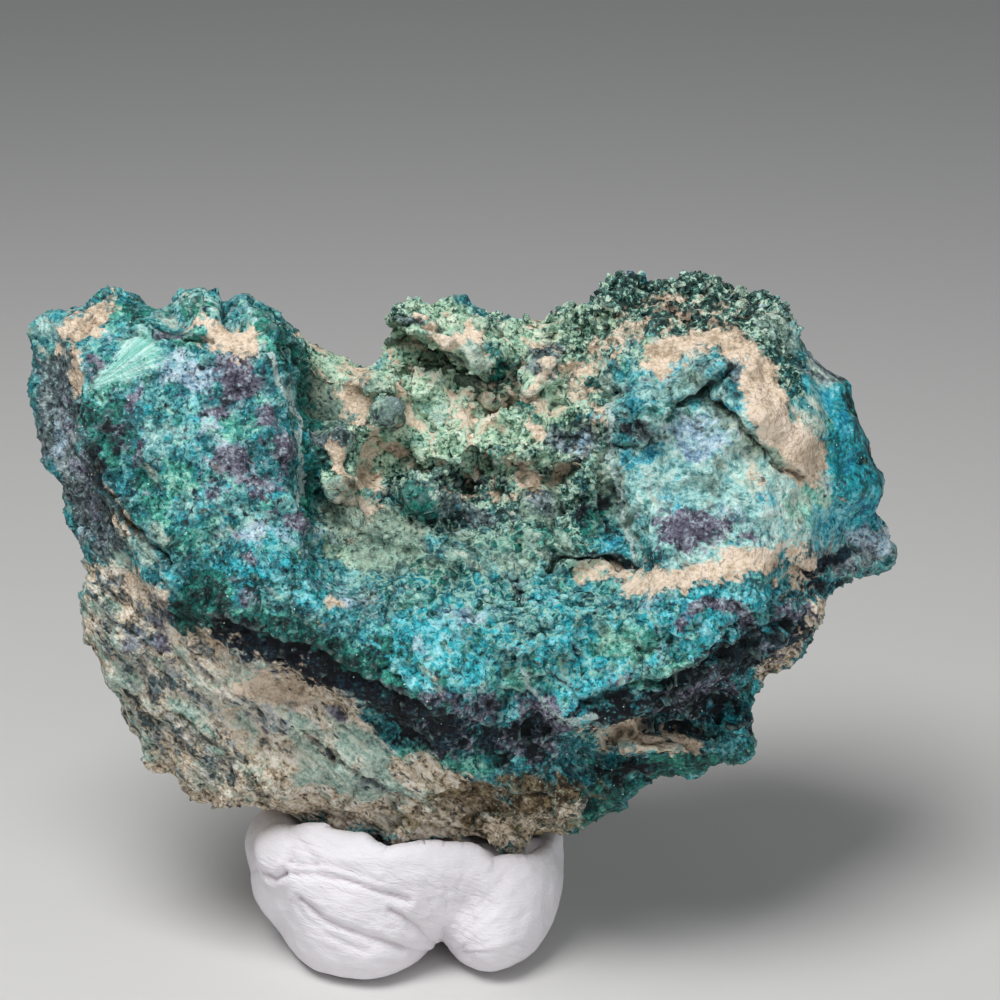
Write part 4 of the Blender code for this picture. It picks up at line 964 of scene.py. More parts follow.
def putty_material(look):
    board = Board("White putty")
    place = board.place()
    fine = board.noise(place, 0.7, 4.0, 0.6)
    broad = board.noise(place, 6.0, 3.0)
    scratches = board.node("ShaderNodeMapping", None, {"Vector": place, "Scale": (0.5, 0.5, 3.0)})
    lines = board.noise(board.out(scratches), 0.5, 3.0, 0.6, 0.6)
    # Painted shade: the putty darkens in its creases and hollows, where shade would fall.
    crease = board.smooth(board.attribute("hollow"), 0.05, 0.9)
    shade = board.mix(crease * 0.8 + broad * 0.12, tuple(look.light), tuple(look.shade))
    along, across = board.reach(place, FOLD_WAY), board.reach(place, FOLD_WAY.cross(OUT))
    creases = board.noise(board.combine(X=along * 0.2, Y=across, Z=along * 0.1), 0.55, 4.0, 0.6, 0.8)
    height = fine * 0.4 + lines * 0.4 + creases * board.attribute("creased") * 1.6
    constants = {
        "Subsurface Weight": 0.12, "Subsurface Scale": 0.6 * MM, "Subsurface Radius": (1.0, 0.9, 0.8),
        "Specular IOR Level": PUTTY_SHINE,
    }
    return board.finish(shade, fine * 0.12 + 0.68, board.bump(height, 0.10 * MM, 0.9), constants)


def spark_material():
    board = Board("Clear crystals")
    place = board.place()
    cloud = board.noise(place, 0.4, 2.0)
    shade = board.ramp(cloud, [(0.2, linear("86c4bd")), (0.6, linear("d5efe8")), (0.9, linear("ffffff"))])
    return board.finish(shade, cloud * 0.1 + 0.08, board.bump(cloud, 0.02 * MM, 0.3), {"IOR": 1.54})


def floor_material(look):
    board = Board("Pale floor")
    cloud = board.noise(board.place(), 30.0, 3.0)
    shade = board.mix(cloud * 0.3, tuple(look.floor), tuple(0.96 * part for part in look.floor))
    return board.finish(shade, cloud * 0.05 + 0.7, board.bump(cloud, 0.05 * MM, 0.2))


# Fields over a mesh's points, with sizes and distances in millimetres. A cloud's last number shifts it.


class Skin:
    """A mesh's points and normals as arrays, in millimetres in the face frame.

    The places are exact, but x and z are as seen from the front, where what is nearer looks further out.
    """

    def __init__(self, mesh):
        count = len(mesh.vertices)
        self.mesh = mesh
        self.world = np.zeros(count * 3)
        mesh.vertices.foreach_get("co", self.world)
        self.world = self.world.reshape(-1, 3)
        self.normals = np.zeros(count * 3)
        mesh.vertex_normals.foreach_get("vector", self.normals)
        self.normals = self.normals.reshape(-1, 3)
        away = (self.world - np.array(FACE_ORIGIN)) / MM
        self.h = away @ np.array(OUT)
        self.facing = self.normals @ np.array(OUT)
        self.places = np.stack([away[:, 0], self.h, away @ np.array(UP)], axis=1)
        from_middle = (self.world - np.array(VIEW_MIDDLE)) / MM
        nearer = 1.0 / (1.0 - (from_middle @ np.array(OUT)) * MM / VIEW_DISTANCE)
        aside = (VIEW_MIDDLE - FACE_ORIGIN) / MM
        self.x = aside.x + from_middle[:, 0] * nearer
        self.z = aside.dot(UP) + (from_middle @ np.array(UP)) * nearer

    def move(self, distance, margin):
        """Moves every point along its normal, by millimetres, but no nearer than the margin to the box."""
        moved = self.world + self.normals * distance[:, None] * MM
        low, high = np.array(SOLID_BOX)
        # The lowest height takes no margin, because the putty rests on the floor.
        moved[:, 1:] = np.clip(moved[:, 1:], (low + margin * MM)[1:] * [1.0, 0.0], (high - margin * MM)[1:])
        self.mesh.vertices.foreach_set("co", moved.ravel())
        self.mesh.update()

    def write(self, name, values):
        attribute = self.mesh.attributes.new(name, "FLOAT", "POINT")
        attribute.data.foreach_set("value", np.clip(values, 0.0, 1.0).astype(np.float32))

    # Its depths set the painted shade in the hollows and creases and the painted highlight on the edges.
    def hollow_shade(self, rounds):
        """How far each point lies behind (+) or before (-) the smoothed surface, in millimetres."""
        edges = np.zeros(len(self.mesh.edges) * 2, dtype=np.int64)
        self.mesh.edges.foreach_get("vertices", edges)
        starts, ends = edges[0::2], edges[1::2]
        count = len(self.world)
        neighbours = np.bincount(starts, minlength=count) + np.bincount(ends, minlength=count)
        smooth = self.world.copy()
        for _ in range(rounds):
            for axis in range(3):
                total = np.bincount(starts, weights=smooth[ends, axis], minlength=count)
                total += np.bincount(ends, weights=smooth[starts, axis], minlength=count)
                smooth[:, axis] = total / neighbours
        return ((smooth - self.world) * self.normals).sum(axis=1) / MM


def soft_step(value, low, high):
    share = np.clip((value - low) / (high - low), 0.0, 1.0)
    return share * share * (3.0 - 2.0 * share)


def cloud(places, size, octaves=4, shift=0.0):
    """Cloudy noise about 0."""
    offset = Vector((shift, 2.0 * shift, -shift))
    return np.array([noise.fractal(Vector(place) / size + offset, 1.0, 2.0, octaves) for place in places])


def ridges(places, size):
    """Sharp ridges: 4 octaves, each 2.1 times finer, with an offset of 1 and a gain of 2."""
    return np.array([
        noise.ridged_multi_fractal(Vector(place) / size, 1.0, 2.1, 4, 1.0, 2.0) for place in places
    ])


def bell(away):
    """1 at 0, falling softly to nothing on both sides."""
    return np.exp(-(away**2))


def pebbles(places, size, round_to=0.6):
    """Round grains packed together: 1 at each one's middle and 0 in the gaps."""
    nearest = np.array([noise.voronoi(Vector(place) / size)[0][0] for place in places])
    return np.sqrt(np.clip(1.0 - (nearest / round_to) ** 2, 0.0, 1.0))


def facets(places, size):
    """Broken rock: each cell is a flat facet with a tilt of its own."""
    heights = []
    for place in places:
        point = Vector(place) / size
        middle = noise.voronoi(point)[1][0]
        tilt = noise.cell_vector(middle * 7.3) - Vector((0.5, 0.5, 0.5))
        heights.append(tilt.dot(point - middle))
    return np.array(heights)


def away_from_line(points, x, z):
    least = np.full(len(x), np.inf)
    points = np.array(points)
    for start, end in zip(points[:-1], points[1:]):
        run = end - start
        right, up = x - start[0], z - start[1]
        along = np.clip((right * run[0] + up * run[1]) / (run @ run), 0.0, 1.0)
        least = np.minimum(least, np.hypot(right - along * run[0], up - along * run[1]))
    return least


def beside_line(points, x, z):
    """How far each place is from the line, positive on its left, and from the nearer end along it."""
    points = np.array(points)
    runs = points[1:] - points[:-1]
    lengths = np.hypot(runs[:, 0], runs[:, 1])
    before = np.concatenate([[0.0], np.cumsum(lengths)])
    least = np.full(len(x), np.inf)
    signed = np.zeros(len(x))
    from_end = np.zeros(len(x))
    for start, run, so_far, own_length in zip(points, runs, before, lengths):
        right, up = x - start[0], z - start[1]
        along = np.clip((right * run[0] + up * run[1]) / own_length**2, 0.0, 1.0)
        away = np.hypot(right - along * run[0], up - along * run[1])
        nearer = away < least
        side = np.sign(run[0] * up - run[1] * right)
        length_here = so_far + along * own_length
        least = np.where(nearer, away, least)
        signed = np.where(nearer, away * side, signed)
        from_end = np.where(nearer, np.minimum(length_here, before[-1] - length_here), from_end)
    return signed, from_end


def turned_to(patch, x, z):
    """Places along the patch's own axes, from its middle."""
    turn = math.radians(patch.turn)
    right = (x - patch.x) * math.cos(turn) + (z - patch.z) * math.sin(turn)
    up = (z - patch.z) * math.cos(turn) - (x - patch.x) * math.sin(turn)
    return right, up


def patch_share(patch, x, z):
    """The patch's own share inside it and 0 outside, falling across its edge."""
    if isinstance(patch, Vein):
        inside = patch.half_width - away_from_line(patch.points, x, z)
        soft = 2.0 * patch.half_width
    else:
        right, up = turned_to(patch, x, z)
        inside = (1.0 - np.hypot(right / patch.wide, up / patch.tall)) * min(patch.wide, patch.tall)
        soft = 2.0 * min(patch.wide, patch.tall)
    return patch.share * np.clip(0.5 + inside / min(soft, 2.4), 0.0, 1.0)


def most_share(patches, x, z):
    """The greatest of the patches' shares at each place."""
    return np.max([patch_share(patch, x, z) for patch in patches], axis=0)


def mineral_shares(skin):
    """Each mineral's share at every point of the skin, and how much a point counts as the front."""
    x = skin.x + EDGE_DRIFT * cloud(skin.places, 2.4, 3, 3.0)
    z = skin.z + EDGE_DRIFT * cloud(skin.places, 2.4, 3, 11.0)
    front = soft_step(skin.facing + 0.02 * skin.h, -0.6, -0.25)
    named = {mineral: most_share(patches, x, z) for mineral, patches in MINERALS.items()}
    named["mint"] = np.maximum(named["mint"], fan_share(skin.x, skin.z))
    pure = np.max([named[mineral] for mineral in PURE], axis=0)
    pure = np.clip(np.maximum(pure, named["emerald"] - 0.2), 0.0, 1.0)
    low = 1.0 - soft_step(pebbles(skin.places, CLUMP), 0.0, 0.45)
    crumbly = np.maximum(named["malachite"], 0.5 * named["crust"])
    between = CLUMP_CLAY * low * soft_step(crumbly, 0.4, 0.7) * (cloud(skin.places, 4.0, 2, 51.0) > -0.1)
    named["clay"] = np.maximum(named["clay"], between)
    shares = {}
    for number, mineral in enumerate(MINERALS):
        size, amount = BACK_SHARES[mineral]
        wild = soft_step(cloud(skin.places, size, 3, 17.0 + 5.0 * number) + amount, 0.0, 0.84)
        sprinkled = SPRINKLED[mineral] * (1.0 - 0.85 * pure)
        shares[mineral] = np.maximum(named[mineral], sprinkled) * front + 0.9 * wild * (1.0 - front)
    return shares, front


def tone_and_light_shift(skin):
    """How much lighter or darker each point is than its minerals alone, by its own tone and by painted
    light and shade.
    """
    return sum(patch_share(patch, skin.x, skin.z) for patch in TONES_AND_PAINTED_LIGHT) * (skin.facing > -0.2)


def wobbled(skin):
    """The places x and z of the front's lines, drawn by an unsteady hand."""
    x = skin.x + LINE_DRIFT * cloud(skin.places, 1.6, 3, 21.0)
    z = skin.z + LINE_DRIFT * cloud(skin.places, 1.6, 3, 33.0)
    return x, z


def line_nearness(lines, skin):
    """1 on the lines, falling evenly to 0 at four half widths, for the material to draw them crisply."""
    x, z = wobbled(skin)
    away = np.min([away_from_line(points, x, z) / half_width for half_width, points in lines], axis=0)
    return np.clip(1.0 - away / 4.0, 0.0, 1.0) * (skin.facing > 0.0)


def seam_nearness(skin):
    """1 on the pale seams, falling to 0 beside them."""
    return line_nearness([(SEAM_HALF_WIDTH, points) for points in SEAMS], skin)


def fan_share(x, z):
    """The satin fan: a wedge that opens from its apex."""
    right, up = x - FAN_APEX[0], z - FAN_APEX[1]
    reach = np.hypot(right, up)
    off_axis = np.abs(np.arctan2(up, right) - FAN_TURN)
    inside = np.minimum(FAN_REACH - reach, (FAN_SPREAD - off_axis) * reach)
    return np.clip(0.5 + inside / 2.0, 0.0, 1.1) * (1.0 - 0.35 * (reach / FAN_REACH) ** 2)


def coat_shares(skin, shares, front):
    """Where the surface is beaded, crumbly, spiky, ribbed and smooth."""
    band = most_share(BEADED, skin.x, skin.z)
    side = 1.0 - front
    return {
        "beaded": np.clip(band * front + 0.6 * side * shares["turquoise"], 0.0, 1.0),
        "crumbly": np.clip(shares["malachite"] + 0.4 * shares["crust"], 0.0, 1.0),
        "spiky": shares["crust"],
        "ribbed": shares["matrix"],
        "smooth": np.clip(shares["clay"] + shares["mint"] + 0.6 * shares["olive"], 0.0, 1.0),
    }


def rock_relief(skin, coats, sizes):
    """The relief of the broken rock and its coats: swells, facets, domes, crumbs, spikes and ribs."""
    places = skin.places
    flat = most_share(FLATS, skin.x, skin.z)
    rough = (1.0 - 0.8 * coats["smooth"]) * (1.0 - 0.6 * patch_share(RIM, skin.x, skin.z))
    broken = rough * (1.0 - 0.55 * flat)
    lower_left = soft_step(-skin.x, 16.0, 24.0) * soft_step(-skin.z, 8.0, 14.0)
    calm = 1.0 - 0.65 * lower_left * (1.0 - soft_step(skin.facing, 0.0, 0.5))
    heights = sizes.swell / MM * cloud(places, SWELL, 6) * (1.0 - 0.4 * flat)
    broad = facets(places, BROAD_FACET) + 0.55 * facets(places, MIDDLE_FACET)
    heights += sizes.facet / MM * broad * broken * calm
    small = 0.28 * sizes.facet / MM * facets(places, SMALL_FACET)
    heights += small * rough * (1.0 - 0.6 * coats["ribbed"])
    heights += sizes.dome / MM * coats["beaded"] * (pebbles(places, DOME) - 0.6)
    crumbs = 1.5 * (pebbles(places, CLUMP) - 0.6) + 0.8 * (pebbles(places, CRUMB) - 0.6)
    heights += sizes.crumble / MM * coats["crumbly"] * crumbs * rough
    heights += sizes.spike / MM * coats["spiky"] * (ridges(places, SPIKE) - 1.1) * rough
    turned = places @ np.array(Matrix.Rotation(STREAK_ANGLE, 3, "Y")).T
    ribs = cloud(turned * np.array([0.22, 1.0, 1.0]), RIB, 5, 9.0)
    heights += sizes.rib / MM * coats["ribbed"] * ribs * (0.35 + 0.65 * soft_step(skin.facing, 0.1, 0.7))
    return heights


def stone_relief(skin, coats, sizes):
    """How far the rough surface stands off the smooth stone, in millimetres."""
    heights = rock_relief(skin, coats, sizes)
    x, z = wobbled(skin)
    outward = np.clip(skin.facing * 1.4, 0.0, 1.0)
    for patch in THREADS:
        right, up = turned_to(patch, skin.x, skin.z)
        threads = cloud(np.stack([right * 0.12, up, skin.h * 0.3], axis=1), THREAD, 3, 31.0)
        share = patch_share(patch, skin.x, skin.z)
        heights = heights * (1.0 - 0.5 * share) + sizes.thread / MM * threads * share * outward
    for knob in NODULES:
        away = np.hypot((skin.x - knob.x) / knob.wide, (skin.z - knob.z) / knob.tall)
        heights += knob.share * np.sqrt(np.clip(1.0 - away**2, 0.0, 1.0)) * outward
    for ledge in LEDGES:
        side, from_end = beside_line(ledge.points, x, z)
        fade = soft_step(from_end, 0.0, 2.0) * outward
        fall = np.exp(-np.maximum(side, 0.0) / ledge.run)
        heights += ledge.height * soft_step(side, -0.1, 0.35) * fall * fade
    for crack in CRACKS:
        heights -= crack.depth * bell(away_from_line(crack.points, x, z) / crack.half_width) * outward
    heights += SEAM_HEIGHT * seam_nearness(skin) ** 3 * outward
    around = soft_step(skin.facing, -0.7, -0.3)
    for dent in DENTS:
        heights -= dent.depth * bell(away_from_line(dent.points, skin.x, skin.z) / dent.half_width) * around
    return heights - sizes.settle / MM * (1.0 - 0.6 * soft_step(skin.x, 20.0, 34.0))


def grain_places(skin, shares, coats):
    """How thickly each kind of grain grows at every point."""
    bare = 1.0 - coats["smooth"]
    above_putty = 1.0 - soft_step(skin.z, -27.0, -30.0)
    clumps = soft_step(cloud(skin.places, 3.0, 3, 41.0), -0.25, 0.15)
    plain = 1.0 - most_share([*THREADS, *NODULES], skin.x, skin.z)
    crumbs = soft_step(coats["crumbly"] * (0.2 + 0.8 * bare), 0.35, 0.8)
    return {
        "bead_places": soft_step(coats["beaded"] * bare, 0.5, 0.9) * above_putty,
        "crumb_places": crumbs * (0.15 + 0.85 * clumps) * np.clip(plain, 0.0, 1.0),
        "crystal_places": soft_step(coats["spiky"] * bare, 0.35, 0.7),
        "spark_places": 0.25 + 0.3 * coats["beaded"] + 0.2 * shares["purple"] - 0.4 * coats["smooth"],
    }


def putty_relief(skin, facing, sizes):
    """How far the putty's surface stands off its smooth solid, in millimetres."""
    heights = PUTTY_SWELL * cloud(skin.places, 5.0, 3, 2.0)
    for fold in FOLDS:
        away = away_from_line(fold.points, skin.x, skin.z)
        lip = 0.22 * bell((away - 2.4 * fold.half_width) / (1.4 * fold.half_width))
        heights -= fold.depth * (bell(away / fold.half_width) - lip) * facing
    right, up = skin.x - NOTCH[0], skin.z - NOTCH[1]
    reach = np.hypot(right, up)
    spokes = np.stack([np.arctan2(up, right) * 9.0, reach * 0.12, skin.h * 0.1], axis=1)
    heights += sizes.wrinkle / MM * cloud(spokes, 0.8, 4) * bell(reach / 9.0) * facing * 2.0
    heights += sizes.plump / MM * (1.0 - 0.4 * soft_step(skin.x, -3.0, 7.0))
    heights += PUTTY_RISE * np.clip(skin.normals[:, 2], 0.0, 1.0)
    for height, x, z, wide, tall in BULGES:
        heights += height * np.exp(-(((skin.x - x) / wide) ** 2) - ((skin.z - z) / tall) ** 2)
    dimples = bell(np.hypot((skin.x + 1.0) / 5.0, (skin.z + 34.5) / 3.6))
    return heights + 0.10 * cloud(skin.places, 0.9, 3, 13.0) * (0.25 + dimples) * facing


def shape_foot(skin):
    """Keeps the putty's underside flat, and brings its two toes forward."""
    above = skin.world[:, 2] - skin.world[:, 2].min()
    skin.normals[:, 2] *= soft_step(above, 0.2 * MM, 1.6 * MM)
    toes = sum(share * bell((skin.x - x) / half_width) for share, x, half_width in TOES)
    low = 1.0 - soft_step(above, 1.0 * MM, 9.0 * MM)
    front = soft_step(-skin.world[:, 1], 2.0 * MM, 9.0 * MM)
    skin.world[:, 1] -= TOE_FORWARD * MM * toes * low * front


# Meshes


def new_object(name, mesh):
    obj = bpy.data.objects.new(name, mesh)
    bpy.context.scene.collection.objects.link(obj)
    return obj


def object_from(shape, name):
    """A new object from an edited shape, which is freed."""
    mesh = bpy.data.meshes.new(name)
    shape.to_mesh(mesh)
    shape.free()
    return new_object(name, mesh)


def apply_modifiers(obj):
    """Works the object's modifiers into its mesh and removes them."""
    bpy.context.view_layer.update()
    graph = bpy.context.evaluated_depsgraph_get()
    mesh = bpy.data.meshes.new_from_object(obj.evaluated_get(graph))
    obj.modifiers.clear()
    old = obj.data
    obj.data = mesh
    bpy.data.meshes.remove(old)


def remeshed_copy(node, name, voxel, smoothing):
    """A copy of a node's solid as an even mesh of quads, with its facets softened."""
    shape = bmesh.new()
    shape.from_mesh(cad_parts[node].data)
    bmesh.ops.remove_doubles(shape, verts=shape.verts, dist=0.001 * MM)
    obj = object_from(shape, name)
    remesh = obj.modifiers.new("Even mesh", "REMESH")
    remesh.mode = "VOXEL"
    remesh.voxel_size = voxel * 1.0
    soften = obj.modifiers.new("Soften facets", "SMOOTH")
    soften.factor = 0.5
    soften.iterations = smoothing
    apply_modifiers(obj)
    return obj


def subdivide_front(obj):
    """Splits the faces that look out of the stone's face, for finer relief there."""
    shape = bmesh.new()
    shape.from_mesh(obj.data)
    shape.normal_update()
    faces = [face for face in shape.faces if face.normal.dot(OUT) > FRONT_FACING]
    faces = [face for face in faces if (face.calc_center_median() - FACE_ORIGIN).dot(OUT) > FRONT_FROM]
    edges = list({edge for face in faces for edge in face.edges})
    bmesh.ops.subdivide_edges(shape, edges=edges, cuts=1, use_grid_fill=True, smooth=0.0)
    bmesh.ops.triangulate(shape, faces=[face for face in shape.faces if len(face.verts) > 4])
    shape.to_mesh(obj.data)
    shape.free()


def thin_out(obj, most):
    """Collapses the flattest places of a mesh until it has fewer than the most triangles."""
    obj.data.calc_loop_triangles()
    count = len(obj.data.loop_triangles)
    if count > most:
        thin = obj.modifiers.new("Thin out", "DECIMATE")
        thin.ratio = most / count
        apply_modifiers(obj)


def set_finish(obj, material):
    """Checks the finished piece's triangles, and gives it its material, slot and body."""
    obj.data.calc_loop_triangles()
    count = len(obj.data.loop_triangles)
    if count >= MOST_TRIANGLES:
        raise RuntimeError(f"{obj.name} has {count} triangles")
    obj.data.materials.clear()
    obj.data.materials.append(material)
    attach(obj, BODY)


# Grains, by Geometry Nodes

# Angles, in radians, and the most spots to a square metre before the spacing thins them.
ALL_ROUND = 6.28
TILT = 0.25
DENSEST = 4.0e6


class Garden:
    """A Geometry Nodes tree that scatters one shape over a surface."""

    def __init__(self, name):
        self.tree = bpy.data.node_groups.new(name, "GeometryNodeTree")
        self.tree.interface.new_socket("Surface", in_out="INPUT", socket_type="NodeSocketGeometry")
        self.tree.interface.new_socket("Grains", in_out="OUTPUT", socket_type="NodeSocketGeometry")
        self.keys = {}

    def add_input(self, name, kind):
        self.keys[name] = self.tree.interface.new_socket(name, in_out="INPUT", socket_type=kind).identifier

    def node(self, kind, settings=None, inputs=None):
        return add_node(self.tree, kind, settings, inputs)

    def random(self, kind, low, high, seed):
        """A random value for each grain. The vector and number kinds have their own sockets."""
        first, result = {"FLOAT_VECTOR": (0, 0), "FLOAT": (2, 1)}[kind]
        inputs = {first: low, first + 1: high, "Seed": seed}
        return self.node("FunctionNodeRandomValue", {"data_type": kind}, inputs).outputs[result]


def scatter_tree(name, upright, flatness, uneven):
    """Grains over a surface, as thick as Where says. Upright ones stand on it, and others lie anyhow."""
    garden = Garden(name)
    for label, kind in (
        ("Spacing", "NodeSocketFloat"), ("Size", "NodeSocketFloat"), ("Where", "NodeSocketString"),
        ("Shape", "NodeSocketObject"), ("Finish", "NodeSocketMaterial"), ("Seed", "NodeSocketInt"),
    ):
        garden.add_input(label, kind)
    given = garden.node("NodeGroupInput").outputs
    where = garden.node("GeometryNodeInputNamedAttribute", {"data_type": "FLOAT"}, {"Name": given["Where"]})
    spots = garden.node(
        "GeometryNodeDistributePointsOnFaces", {"distribute_method": "POISSON"},
        {"Mesh": given["Surface"], "Distance Min": given["Spacing"], "Density Max": DENSEST,
         "Density Factor": where.outputs["Attribute"], "Seed": given["Seed"]},
    )
    any_way = garden.random("FLOAT_VECTOR", (0, 0, 0), (ALL_ROUND, ALL_ROUND, ALL_ROUND), 3)
    turn = garden.node("FunctionNodeEulerToRotation", None, {0: any_way}).outputs[0]
    if upright:
        tilt = garden.random("FLOAT_VECTOR", (-TILT, -TILT, 0.0), (TILT, TILT, ALL_ROUND), 4)
        tilted = garden.node("FunctionNodeEulerToRotation", None, {0: tilt})
        turned = garden.node(
            "FunctionNodeRotateRotation", {"rotation_space": "LOCAL"},
            {"Rotation": spots.outputs["Rotation"], "Rotate By": tilted.outputs[0]},
        )
        turn = turned.outputs[0]
    low = (1.0 - uneven, 1.0 - uneven, (1.0 - uneven) * flatness)
    high = (1.0 + uneven, 1.0 + uneven, (1.0 + uneven) * flatness)
    own_size = garden.random("FLOAT", 0.55, 1.0, 5)
    scaled = garden.node("ShaderNodeMath", {"operation": "MULTIPLY"}, {0: own_size, 1: given["Size"]})
    grown = garden.node(
        "ShaderNodeVectorMath", {"operation": "SCALE"},
        {0: garden.random("FLOAT_VECTOR", low, high, 6), "Scale": scaled.outputs[0]},
    )
    shape = garden.node("GeometryNodeObjectInfo", None, {"Object": given["Shape"]})
    placed = garden.node(
        "GeometryNodeInstanceOnPoints", None,
        {"Points": spots.outputs["Points"], "Instance": shape.outputs["Geometry"], "Rotation": turn,
         "Scale": grown.outputs["Vector"]},
    )
    tone = garden.random("FLOAT", 0.15, 0.85, 8)
    toned = garden.node(
        "GeometryNodeStoreNamedAttribute", {"data_type": "FLOAT", "domain": "INSTANCE"},
        {"Geometry": placed.outputs["Instances"], "Name": "tone", "Value": tone},
    )
    real = garden.node("GeometryNodeRealizeInstances", None, {"Geometry": toned.outputs["Geometry"]})
    finished = garden.node(
        "GeometryNodeSetMaterial", None, {"Geometry": real.outputs["Geometry"], "Material": given["Finish"]}
    )
    garden.node("NodeGroupOutput", None, {0: finished.outputs["Geometry"]})
    return garden


def scattered(name, surface, garden, values):
    """The realized grains as a piece of their own."""
    host = new_object(name, surface.data.copy())
    scatter = host.modifiers.new(name, "NODES")
    scatter.node_group = garden.tree
    for label, value in values.items():
        scatter[garden.keys[label]] = value
    apply_modifiers(host)
    host.data.name = name
    return host


def grain_shape(name, level, unevenness, smooth):
    """A unit grain: a ball, or with unevenness an angular crumb."""
    shape = bmesh.new()
    bmesh.ops.create_icosphere(shape, subdivisions=level, radius=1.0)
    for vertex in shape.verts:
        vertex.co *= 1.0 + unevenness * noise.noise(vertex.co * 1.7 + Vector((4.0, 1.0, 2.0)))
    grain = object_from(shape, name)
    if smooth:
        grain.data.shade_smooth()
    return grain


def crystal_shape(name):
    """A unit crystal: a short five-sided prism with a point."""
    shape = bmesh.new()
    bmesh.ops.create_cone(shape, cap_ends=True, segments=5, radius1=1.0, radius2=0.75, depth=1.2)
    tips = [vertex for vertex in shape.verts if vertex.co.z > 0.0]
    cap = next(face for face in shape.faces if all(vertex in tips for vertex in face.verts))
    bmesh.ops.poke(shape, faces=[cap], offset=0.6)
    return object_from(shape, name)


# Operators


class SPECIMEN_OT_stone(bpy.types.Operator):
    """Makes the stone from its solid: finer, rougher, and with a share of each mineral at every point"""

    bl_idname = "specimen.stone"
    bl_label = "Stone"

    def execute(self, context):
        sizes = context.scene.specimen_stone
        stone = remeshed_copy(STONE, "stone", sizes.voxel, 2)
        subdivide_front(stone)
        skin = Skin(stone.data)
        shares, front = mineral_shares(skin)
        coats = coat_shares(skin, shares, front)
        skin.move(stone_relief(skin, coats, sizes), STONE_MARGIN)
        skin = Skin(stone.data)
        for name, share in {**shares, **coats}.items():
            skin.write(name, share)
        # How deep each point lies in a hollow, and how far it stands out on an edge, for the painted shade
        # in the hollows and the painted highlight on the edges.
        hollow = skin.hollow_shade(4)
        skin.write("hollow", hollow / STONE_HOLLOW)
        skin.write("edge", -hollow / STONE_HOLLOW)
        # The stone's own tone, together with painted light and shade.
        skin.write("tone", 0.5 + tone_and_light_shift(skin))
        skin.write("seam", seam_nearness(skin))
        # Nearness to the narrow cracks, for the painted shade in them.
        narrow = [crack for crack in CRACKS if crack.depth > 0.0 and crack.half_width < 0.6]
        skin.write("crack", line_nearness([(crack.half_width, crack.points) for crack in narrow], skin))
        skin.write("calm", patch_share(RIM, skin.x, skin.z))
        for name, share in grain_places(skin, shares, coats).items():
            skin.write(name, share)
        thin_out(stone, STONE_TRIANGLES)
        stone.data.shade_smooth()
        set_finish(stone, stone_material(context.scene.specimen_colours))
        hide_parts(STONE)
        return {"FINISHED"}


class SPECIMEN_OT_grains(bpy.types.Operator):
    """Scatters the beads, crumbs and crystals that make up the stone's crusts"""

    bl_idname = "specimen.grains"
    bl_label = "Crust grains"

    def execute(self, context):
        sizes = context.scene.specimen_stone
        stone = bpy.data.objects["stone"]
        minerals = bpy.data.materials[MINERAL_FINISH]
        bead = grain_shape("bead seed", 2, 0.15, True)
        crumb = grain_shape("crumb seed", 1, 0.9, False)
        crystal = crystal_shape("crystal seed")
        clear = spark_material()
        # The piece, its settings' name, shape, uprightness, flatness, unevenness, size and finish.
        kinds = [
            ("chrysocolla_beads", "bead", bead, True, 0.55, 0.2, 0.62, minerals),
            ("malachite_crumbs", "crumb", crumb, False, 1.0, 0.35, 0.50, minerals),
            ("crust_crystals", "crystal", crystal, False, 1.0, 0.35, 0.55, minerals),
            ("clear_crystals", "spark", crystal, False, 1.0, 0.3, 0.10, clear),
        ]
        for name, kind, shape, upright, flatness, uneven, size, material in kinds:
            garden = scatter_tree(name, upright, flatness, uneven)
            values = {
                "Spacing": getattr(sizes, f"{kind}_spacing"), "Size": size * MM, "Where": f"{kind}_places",
                "Shape": shape, "Finish": material, "Seed": sizes.seed,
            }
            grains = scattered(name, stone, garden, values)
            set_finish(grains, material)
        for seed in (bead, crumb, crystal):
            bpy.data.objects.remove(seed, do_unlink=True)
        return {"FINISHED"}


class SPECIMEN_OT_putty(bpy.types.Operator):
    """Makes the putty from its solid, with its folds, creases and stretch wrinkles"""

    bl_idname = "specimen.putty"
    bl_label = "Putty"

    def execute(self, context):
        sizes = context.scene.specimen_putty
        putty = remeshed_copy(PUTTY, "putty", sizes.voxel, 12)
        skin = Skin(putty.data)
        facing = np.clip(skin.facing * 1.5, 0.0, 1.0)
        heights = putty_relief(skin, facing, sizes)
        shape_foot(skin)
        skin.move(heights, PUTTY_MARGIN)
        skin = Skin(putty.data)
        # How deep each point lies in a crease, for the painted shade there.
        skin.write("hollow", skin.hollow_shade(5) / PUTTY_HOLLOW)
        creases = [fold.points for fold in FOLDS if fold.depth > 0.0]
        away = np.min([away_from_line(points, skin.x, skin.z) for points in creases], axis=0)
        skin.write("creased", bell(away / 1.8) * facing)
        putty.data.shade_smooth()
        set_finish(putty, putty_material(sizes))
        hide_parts(PUTTY)
        return {"FINISHED"}


# The stage, in metres: each light's place and size, the floor's half size, and where the camera's view
# starts.
LIGHTS = {"key": ((-0.10, -0.16, 0.42), 0.22), "fill": ((0.22, -0.42, 0.16), 0.30)}
SKY_COLOUR = (0.93, 0.96, 1.0, 1.0)
FLOOR_SIZE = 1.5
NEAREST = 0.01


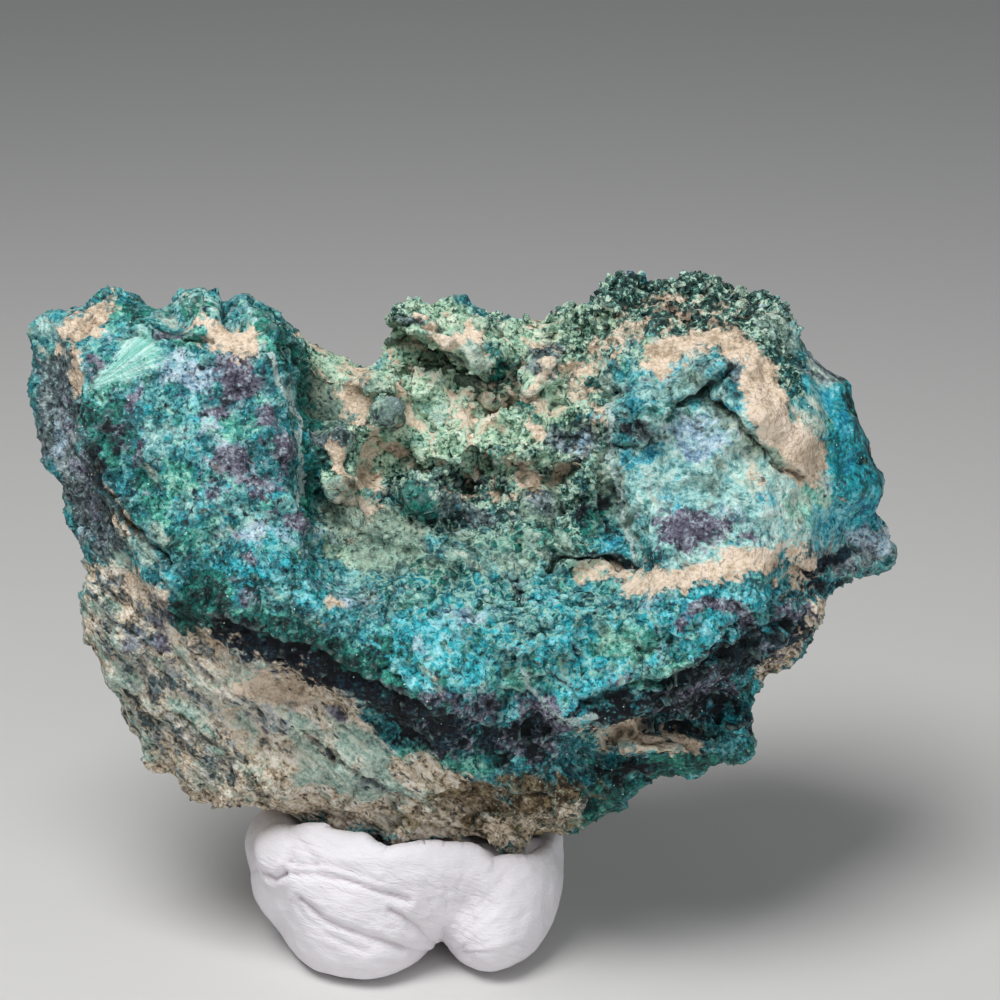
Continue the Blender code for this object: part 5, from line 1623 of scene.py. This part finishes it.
class SPECIMEN_OT_stage(bpy.types.Operator):
    """Makes the floor, the lights and the camera"""

    bl_idname = "specimen.stage"
    bl_label = "Stage"

    def execute(self, context):
        look = context.scene.specimen_stage
        shape = bmesh.new()
        bmesh.ops.create_grid(shape, x_segments=1, y_segments=1, size=FLOOR_SIZE)
        floor = object_from(shape, "floor")
        floor.data.materials.append(floor_material(look))
        for name, (place, size) in LIGHTS.items():
            self.add_light(name, Vector(place), size, getattr(look, f"{name}_power"))
        world = bpy.data.worlds.new("Even light")
        world.use_nodes = True
        background = world.node_tree.nodes["Background"]
        background.inputs["Color"].default_value = SKY_COLOUR
        background.inputs["Strength"].default_value = look.sky_strength
        context.scene.world = world
        lens = bpy.data.cameras.new("camera")
        lens.angle = 2.0 * math.atan(look.view_width / 2.0 / look.camera_distance)
        lens.clip_start = NEAREST
        camera = new_object("camera", lens)
        camera.location = VIEW_MIDDLE + OUT * look.camera_distance
        camera.rotation_euler = (-OUT).to_track_quat("-Z", "Y").to_euler()
        context.scene.camera = camera
        context.scene.view_settings.view_transform = "Standard"
        return {"FINISHED"}

    def add_light(self, name, place, size, energy):
        lamp = bpy.data.lights.new(name, "AREA")
        lamp.size = size
        lamp.energy = energy
        light = new_object(name, lamp)
        light.location = place
        light.rotation_euler = (VIEW_MIDDLE - place).to_track_quat("-Z", "Y").to_euler()


class SPECIMEN_PT_panel(bpy.types.Panel):
    """The specimen's sizes, colours and pieces"""

    bl_idname = "SPECIMEN_PT_panel"
    bl_label = "Chrysocolla specimen"
    bl_space_type = "VIEW_3D"
    bl_region_type = "UI"
    bl_category = "Specimen"

    def draw(self, context):
        for operator in OPERATORS:
            self.layout.operator(operator.bl_idname)
        for name in SETTINGS:
            group = getattr(context.scene, name)
            box = self.layout.box()
            for key in group.__annotations__:
                box.prop(group, key)


SETTINGS = {
    "specimen_colours": StoneColours,
    "specimen_stone": StoneSizes,
    "specimen_putty": PuttySizes,
    "specimen_stage": StageLook,
}
OPERATORS = [SPECIMEN_OT_stone, SPECIMEN_OT_grains, SPECIMEN_OT_putty, SPECIMEN_OT_stage]


def register():
    for kind in [*SETTINGS.values(), *OPERATORS, SPECIMEN_PT_panel]:
        bpy.utils.register_class(kind)
    for name, group in SETTINGS.items():
        setattr(bpy.types.Scene, name, PointerProperty(type=group))


def unregister():
    for name in SETTINGS:
        delattr(bpy.types.Scene, name)
    for kind in reversed([*SETTINGS.values(), *OPERATORS, SPECIMEN_PT_panel]):
        bpy.utils.unregister_class(kind)


def main():
    register()
    bpy.ops.specimen.stage()
    bpy.ops.specimen.stone()
    bpy.ops.specimen.grains()
    bpy.ops.specimen.putty()


if __name__ == "__main__":
    main()
